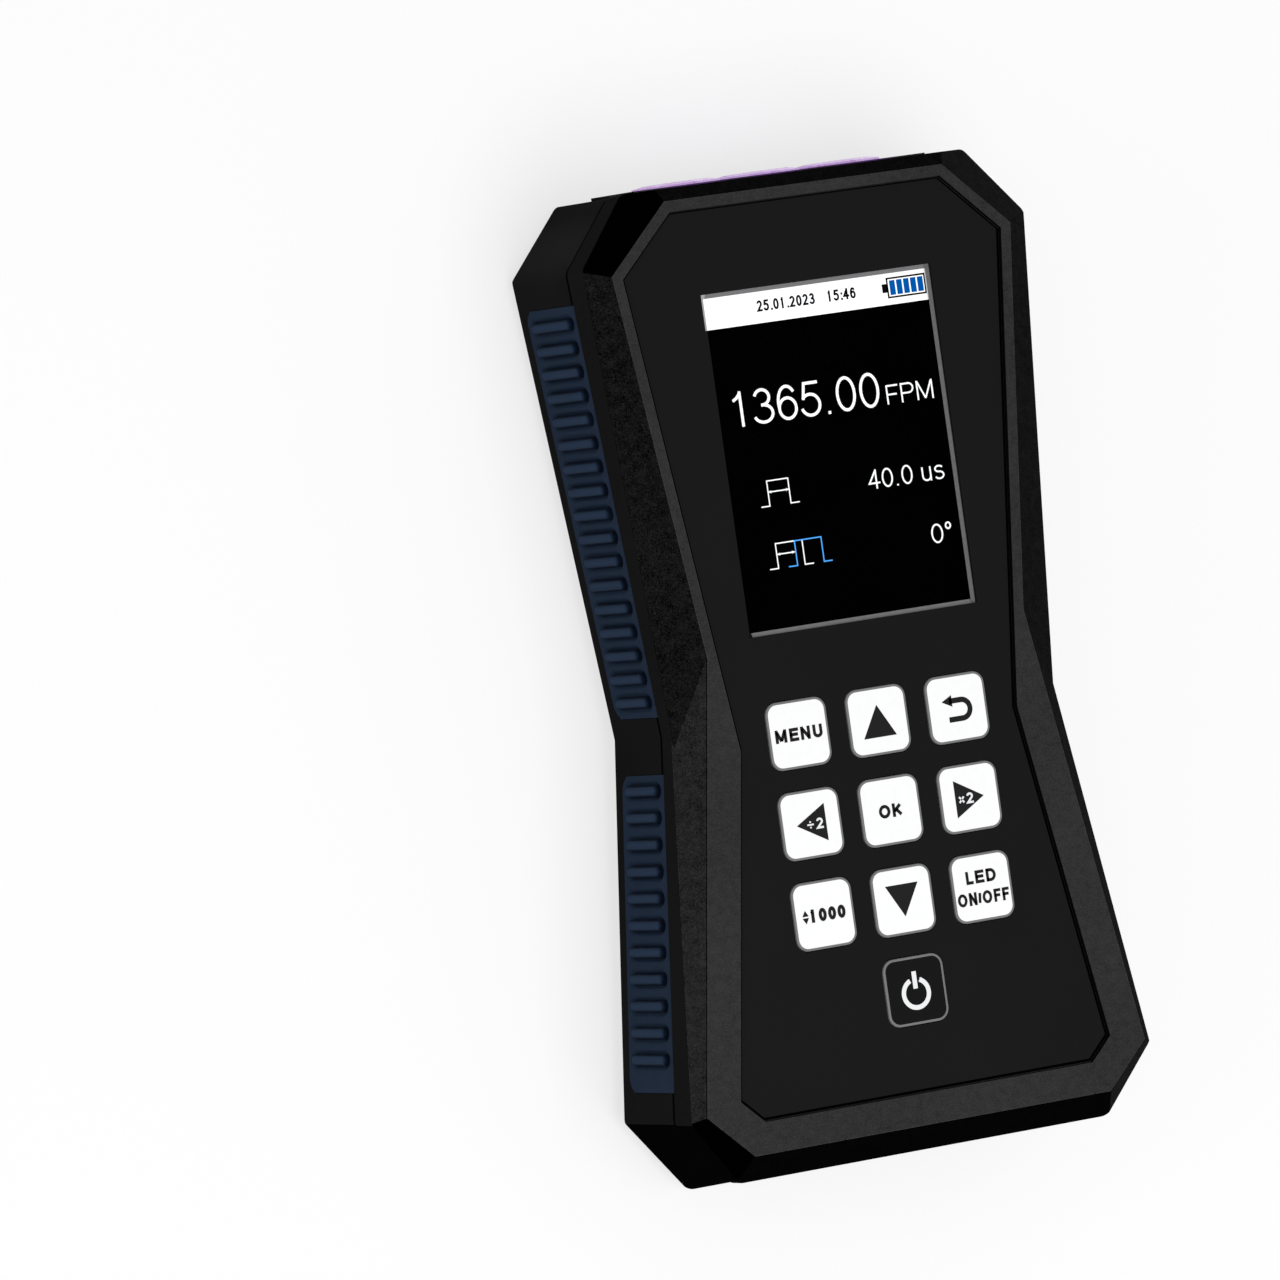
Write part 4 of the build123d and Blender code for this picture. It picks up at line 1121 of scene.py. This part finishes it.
def shade_facets(piece, middle, sector):
    """Gives each face of a lens its painted light and shade: by the way its sector faces, and even elsewhere.
    """
    centres = np.zeros(len(piece.data.polygons) * 3)
    piece.data.polygons.foreach_get("center", centres)
    aside, _, above = (centres.reshape(-1, 3) - np.array(middle)).T
    direction = np.arctan2(above, aside)
    facing = np.round(direction / sector) * sector
    on_facet = np.hypot(aside, above) * np.cos(direction - facing) > LENS_TABLE_RADIUS * 0.88
    light = np.where(on_facet, 0.6 + 0.4 * np.cos(facing - LENS_LIT_WAY), 0.7)
    attribute = piece.data.attributes.new("facet", "FLOAT", "FACE")
    attribute.data.foreach_set("value", light)


def wall_of(node):
    """Directions along and out of a grip's wall, from the largest faces of its inlay."""
    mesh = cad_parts[node].data
    count = len(mesh.polygons)
    normals = np.zeros(count * 3)
    areas = np.zeros(count)
    mesh.polygons.foreach_get("normal", normals)
    mesh.polygons.foreach_get("area", areas)
    normals = normals.reshape(-1, 3)
    side = 1 if node.endswith("right") else -1
    level = (np.abs(normals[:, 2]) < 0.01) & (normals[:, 0] * side > 0.9)
    out = (normals[level] * areas[level, None]).sum(0)
    out /= np.linalg.norm(out)
    along = np.array([out[1], -out[0], 0.0]) * side
    return along, out


def make_grip(node, first_rib, pitch, material):
    """Ribbed inlay: a height over the wall, as a function of the place along and down it.

    The height follows the distance from the nearest rib's middle line: a crowned top,
    a steep side, a groove round its foot and a soft rise back to the pad.
    """
    along, out = wall_of(node)
    corners = mesh_points(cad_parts[node].data)
    across = corners @ along
    depth = corners @ out
    back, front = depth.min(), depth.max() - RIB_HEIGHT
    left, right = across.min(), across.max()
    top = corners[:, 2].max()
    foot = []
    for place in (left + GRIP_CORNER_RADIUS, right - GRIP_CORNER_RADIUS):
        near = np.abs(across - place) < 0.5 * MM
        foot.append(corners[near, 2].min())
    slope = (foot[1] - foot[0]) / (right - left - 2 * GRIP_CORNER_RADIUS)
    s = np.linspace(left, right, int((right - left) / GRIP_MESH))
    low = foot[0] + slope * (s - left - GRIP_CORNER_RADIUS)
    inside = np.clip(GRIP_CORNER_RADIUS - np.minimum(s - left, right - s), 0, None)
    rounded = GRIP_CORNER_RADIUS - np.sqrt(GRIP_CORNER_RADIUS ** 2 - inside ** 2)
    rows = np.linspace(0, 1, int((top - low.min()) / GRIP_MESH))
    z = top + (low + rounded - top)[:, None] * rows
    ss = np.broadcast_to(s[:, None], z.shape)
    count = 1 + int((right - left - first_rib - RIB_END_MARGIN) / pitch)
    index = np.clip(np.round((ss - left - first_rib) / pitch), 0, count - 1)
    place = left + first_rib + index * pitch
    half = RIB_WIDTH / 2
    rib_low = foot[0] + slope * (place - left - GRIP_CORNER_RADIUS) + RIB_FOOT_MARGIN + half
    distance = np.hypot(ss - place, z - np.clip(z, rib_low, top - RIB_TOP_MARGIN - half)) / MM
    heights = np.interp(distance, *RIB_SECTION) * RIB_HEIGHT
    # Painted shading: pale on the crowns, dark in the groove round each rib, wider at its top end, fading
    # back to the pad's level at its lower end.
    cap = np.clip((z - (top - RIB_TOP_MARGIN - half)) / half, 0, 1)
    tail = np.clip((rib_low - z) / half, 0, 1)
    past = np.interp(distance - 0.3 * cap, *PAST_RIB)
    painted_rib_shading = np.interp(distance, *RIB_PAINTED_SHADING) + PAD_PAINTED_SHADING * past
    painted_rib_shading += (PAD_PAINTED_SHADING - painted_rib_shading) * tail * 0.7
    edge = np.minimum(np.minimum(ss - left, right - ss), np.minimum(top - z, z - (low + rounded)[:, None]))
    fall = np.clip(1 - edge / GRIP_EDGE_ROUND, 0, 1)
    level = front + heights - GRIP_EDGE_ROUND * (1 - np.sqrt(1 - fall ** 2))
    rim = np.ones(z.shape, bool)
    rim[1:-1, 1:-1] = False
    level[rim] = back
    plan_s = ss.copy()
    plan_s[1], plan_s[-2] = plan_s[0], plan_s[-1]
    plan_z = z.copy()
    plan_z[:, 1], plan_z[:, -2] = plan_z[:, 0], plan_z[:, -1]
    up = np.array([0.0, 0.0, 1.0])
    points = plan_s[..., None] * along + level[..., None] * out + plan_z[..., None] * up
    order = np.arange(z.size).reshape(z.shape)
    squares = np.stack([order[:-1, :-1], order[:-1, 1:], order[1:, 1:], order[1:, :-1]], -1).reshape(-1, 4)
    border = np.concatenate([order[0, :-1], order[:-1, -1], order[-1, :0:-1], order[:0:-1, 0]])
    faces = squares.tolist() + [border.tolist()]
    piece = add_piece(f"{node}_ribbed", points, faces, [material], CASE, "grip")
    smooth(piece, 60.0)
    share = nearest_values(mesh_points(piece.data), points.reshape(-1, 3), painted_rib_shading.ravel())
    number_points(piece, "painted_rib_shading", share)
    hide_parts(node)


def nearest_values(places, points, values):
    """Value of the nearest point for each place, found by the cell of a fine grid it falls in."""
    def cells(spots):
        return [tuple(cell) for cell in np.round(spots / (0.002 * MM)).astype(np.int64)]

    known = dict(zip(cells(points), values))
    return np.array([known.get(cell, 0.5) for cell in cells(places)])


def make_foot(node, material):
    """Rubber foot: a disc whose rim is a quarter circle, with a shallow round dish below."""
    low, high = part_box(node)
    radius = (high.x - low.x) / 2
    profile = [(0.0, high.z), (radius, high.z)]
    for turn in np.linspace(0, math.pi / 2, 7):
        inset = FOOT_ROUND * (1 - math.cos(turn))
        profile.append((radius - inset, low.z + FOOT_ROUND * (1 - math.sin(turn))))
    profile += [(radius * share, low.z + rise) for share, rise in FOOT_DISH]
    distance, height = np.array(profile).T[:, :, None]
    points = turned(distance, height, (low + high) / 2)
    piece = add_piece(f"{node}_pad", points, grid_faces(*points.shape[:2]), [material], CASE, "foot")
    smooth(piece, 40.0)
    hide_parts(node)


def helix(height, turn, pitch):
    """Triangle wave from 0 to 1 of the height less the turn, one pitch a turn."""
    return np.abs((height / pitch - turn / (2 * math.pi)) % 1 - 0.5) * 2


def make_case_screws(material):
    """Case screws: pan heads with a cross recess, each on its threaded shank.

    The head's face is lifted inside a cross of two slots, by a smooth step of the distance
    from the nearer slot's middle line; the shank's radius is a triangle wave along a helix.
    """
    corners = mesh_points(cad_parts["case_screws"].data)
    turn = whole_turn()
    rim, rises = np.array(HEAD_RIM).T
    shares = np.concatenate([np.linspace(0, HEAD_FACE, HEAD_RINGS), rim])
    lifts = np.concatenate([np.zeros(HEAD_RINGS), rises])
    shells = []
    for side_x, side_y in ((-1, -1), (-1, 1), (1, -1), (1, 1)):
        own = corners[(corners[:, 0] * side_x > 0) & (corners[:, 1] * side_y > 0)]
        low, high = own.min(0), own.max(0)
        middle = (low + high) / 2
        radius = (high[0] - low[0]) / 2
        shank = radius * SHANK_SHARE
        head = low[2] + HEAD_HEIGHT
        thread = np.linspace(head, high[2], SHANK_RINGS)
        distance = np.concatenate([shares * radius, np.full(SHANK_RINGS, shank), [0.0]])[:, None]
        height = np.concatenate([lifts + low[2], thread, [high[2]]])[:, None]
        on_shank = (height > head + THREAD_START) & (distance == shank)
        wave = (helix(height, turn, SCREW_PITCH) - 1) * SCREW_THREAD
        distance = distance + np.where(on_shank, wave, 0.0)
        x, y = distance * np.cos(turn), distance * np.sin(turn)
        slot = np.minimum(np.abs(x), np.abs(y)) - CROSS_HALF_WIDTH
        reach = np.hypot(x, y) - radius * CROSS_REACH
        inside = np.clip(-np.maximum(slot, reach) / CROSS_SLOPE, 0, 1)
        recess = inside * CROSS_DEPTH * (1 - np.hypot(x, y) / radius * CROSS_TAPER)
        on_face = np.arange(len(height))[:, None] < HEAD_RINGS
        z = height + np.where(on_face, recess, 0.0)
        points = np.stack([x + middle[0], y + middle[1], z], -1)
        shells.append((points.reshape(-1, 3), grid_faces(*x.shape)))
    piece = add_piece("case_screws_cross", *joined(shells), [material], CASE, "screw_steel")
    smooth(piece, 30.0)
    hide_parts("case_screws")


def make_tripod_bush(material):
    """Threaded bush: a profile turned about its axis, its bore cut by a helical groove.

    The bore's radius is a triangle wave of the height less the turn, one pitch a turn.
    """
    low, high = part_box("tripod_bush")
    flange = (high.x - low.x) / 2
    bore_top = low.z + BUSH_BORE_DEPTH
    thread = np.linspace(low.z + BUSH_LEAD_IN, bore_top - BUSH_EDGE, BORE_RINGS)
    profile = [(0.0, high.z), (flange - BUSH_EDGE, high.z), (flange, high.z - BUSH_EDGE),
               (flange, high.z - BUSH_FLANGE), (BUSH_RADIUS, high.z - BUSH_FLANGE),
               (BUSH_RADIUS, low.z + BUSH_EDGE), (BUSH_RADIUS - BUSH_EDGE, low.z),
               (BUSH_BORE + BUSH_THREAD + THREAD_END, low.z)]
    profile += [(BUSH_BORE, place) for place in thread]
    profile += [(BUSH_BORE, bore_top), (0.0, bore_top)]
    distance, height = np.array(profile).T[:, :, None]
    cut = (distance == BUSH_BORE) & (height < bore_top - THREAD_END)
    distance = distance + np.where(cut, helix(height, whole_turn(), BUSH_PITCH) * BUSH_THREAD, 0.0)
    points = turned(distance, height, (low + high) / 2)
    piece = add_piece("tripod_bush_thread", points, grid_faces(*points.shape[:2]), [material], CASE, "bush")
    smooth(piece, 30.0)
    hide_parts("tripod_bush")


def make_stage():
    """Pale floor, soft lamps and a white surround."""
    mesh = bpy.data.meshes.new("floor")
    corners = [(-FLOOR_REACH, -FLOOR_REACH, 0), (FLOOR_REACH, -FLOOR_REACH, 0),
               (FLOOR_REACH, FLOOR_REACH, 0), (-FLOOR_REACH, FLOOR_REACH, 0)]
    mesh.from_pydata(corners, [], [(0, 1, 2, 3)])
    finish = Finish("floor_paper", Specular_IOR_Level=0.0, Roughness=1.0)
    finish.feed(Base_Color=finish.mix(finish.noise(0.4), (0.95, 0.95, 0.95), (0.97, 0.97, 0.97)))
    seen = finish.node("ShaderNodeLightPath", output="Is Camera Ray") * FLOOR_GLOW
    paper = Value(finish, finish.shader.outputs[0])
    white = finish.node("ShaderNodeEmission", None, {"Strength": 1.0})
    lit = finish.node("ShaderNodeMixShader", None, {0: seen, 1: paper, 2: white})
    finish.lead(lit, finish.tree.nodes["Material Output"].inputs["Surface"])
    mesh.materials.append(finish.material)
    floor = bpy.data.objects.new("floor", mesh)
    bpy.context.scene.collection.objects.link(floor)
    world = bpy.data.worlds.new("surround")
    world.use_nodes = True
    surround = Nodes(world.node_tree)
    rays = [surround.node("ShaderNodeLightPath", output=f"Is {kind} Ray")
            for kind in ("Camera", "Glossy", "Transmission")]
    strength = rays[0].most(rays[1]).most(rays[2]) * (1 - AMBIENT) + AMBIENT
    background = world.node_tree.nodes["Background"]
    background.inputs["Color"].default_value = (1.0, 1.0, 1.0, 1.0)
    surround.lead(strength, background.inputs["Strength"])
    bpy.context.scene.world = world
    for name, place, size, power in LAMPS:
        add_lamp(name, place, size, power)


def add_lamp(name, place, size, power):
    """Square soft lamp that faces the middle of the part."""
    light = bpy.data.lights.new(name, "AREA")
    light.size = size
    light.energy = power
    lamp = bpy.data.objects.new(name, light)
    away = np.array(place)
    back = away / np.linalg.norm(away)
    right = np.cross((0.0, 0.0, 1.0), back)
    right /= np.linalg.norm(right)
    up = np.cross(back, right)
    lamp.matrix_world = Matrix([[*row, at] for row, at in zip(zip(right, up, back), place)] + [[0, 0, 0, 1]])
    bpy.context.scene.collection.objects.link(lamp)


def make_camera():
    """Camera at the place, turn and lens that show the part as the photograph does."""
    lens = bpy.data.cameras.new("camera")
    lens.lens = CAMERA_LENS
    lens.sensor_width = CAMERA_SENSOR
    lens.clip_end = CAMERA_FAR
    camera = bpy.data.objects.new("camera", lens)
    columns = (CAMERA_RIGHT, [-part for part in CAMERA_DOWN], [-part for part in CAMERA_FORWARD])
    rows = [[*row, at] for row, at in zip(zip(*columns), CAMERA_PLACE)]
    camera.matrix_world = Matrix(rows + [[0, 0, 0, 1]])
    bpy.context.scene.collection.objects.link(camera)
    bpy.context.scene.camera = camera


make_camera()
make_stage()
paint_nodes()
make_shell("front_shell", lambda way: way.z > -OUTWARD_TILT, front_painted_shading, 0.0,
           front_moulding())
make_shell("rear_shell", lambda way: way.z < OUTWARD_TILT, rear_painted_shading, UPRIGHT_ROUND,
           rear_moulding())
white_key = satin_ink("key_white_face", (0.965, 0.968, 0.97), 0.35)
edge_shade_finish = satin_ink("key_edge_painted_shade", KEY_EDGE_SHADE, 0.4)
black_key = satin_ink("key_black_face", (0.0075, 0.0075, 0.0078), 0.42, specular=0.02)
dark_ink = satin_ink("legend_dark", LEGEND_INK, 0.45, specular=0.05)
pale_ink = satin_ink("legend_pale", PALE_INK, 0.4)
for key in [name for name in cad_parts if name.startswith("key_") and name != "key_mat"]:
    power = key == "key_power"
    make_key(key, black_key if power else white_key, edge_shade_finish, "key_black" if power else "key_white")
make_legends(dark_ink, pale_ink)
make_foil_edge_shadow(satin_ink("foil_shadow_black", (0.0006, 0.0006, 0.0007), 0.5, specular=0.0))
make_picture()
resin = lens_resin()
for lens_node in LENSES:
    make_lens(lens_node, resin)
rubber = navy_rubber()
for level_name, (first, step) in GRIP_RIBS.items():
    for side_name in ("right", "left"):
        make_grip(f"grip_{level_name}_{side_name}", first, step, rubber)
sole = black_rubber()
for foot_node in FEET:
    make_foot(foot_node, sole)
make_case_screws(metal("screw_steel", *SCREW_STEEL))
make_tripod_bush(metal("turned_brass", (0.5, 0.34, 0.12), (0.72, 0.52, 0.22), 0.28, (1.0, 1.0, 3.0)))

bpy.context.scene.view_settings.view_transform = "Standard"
bpy.context.view_layer.update()
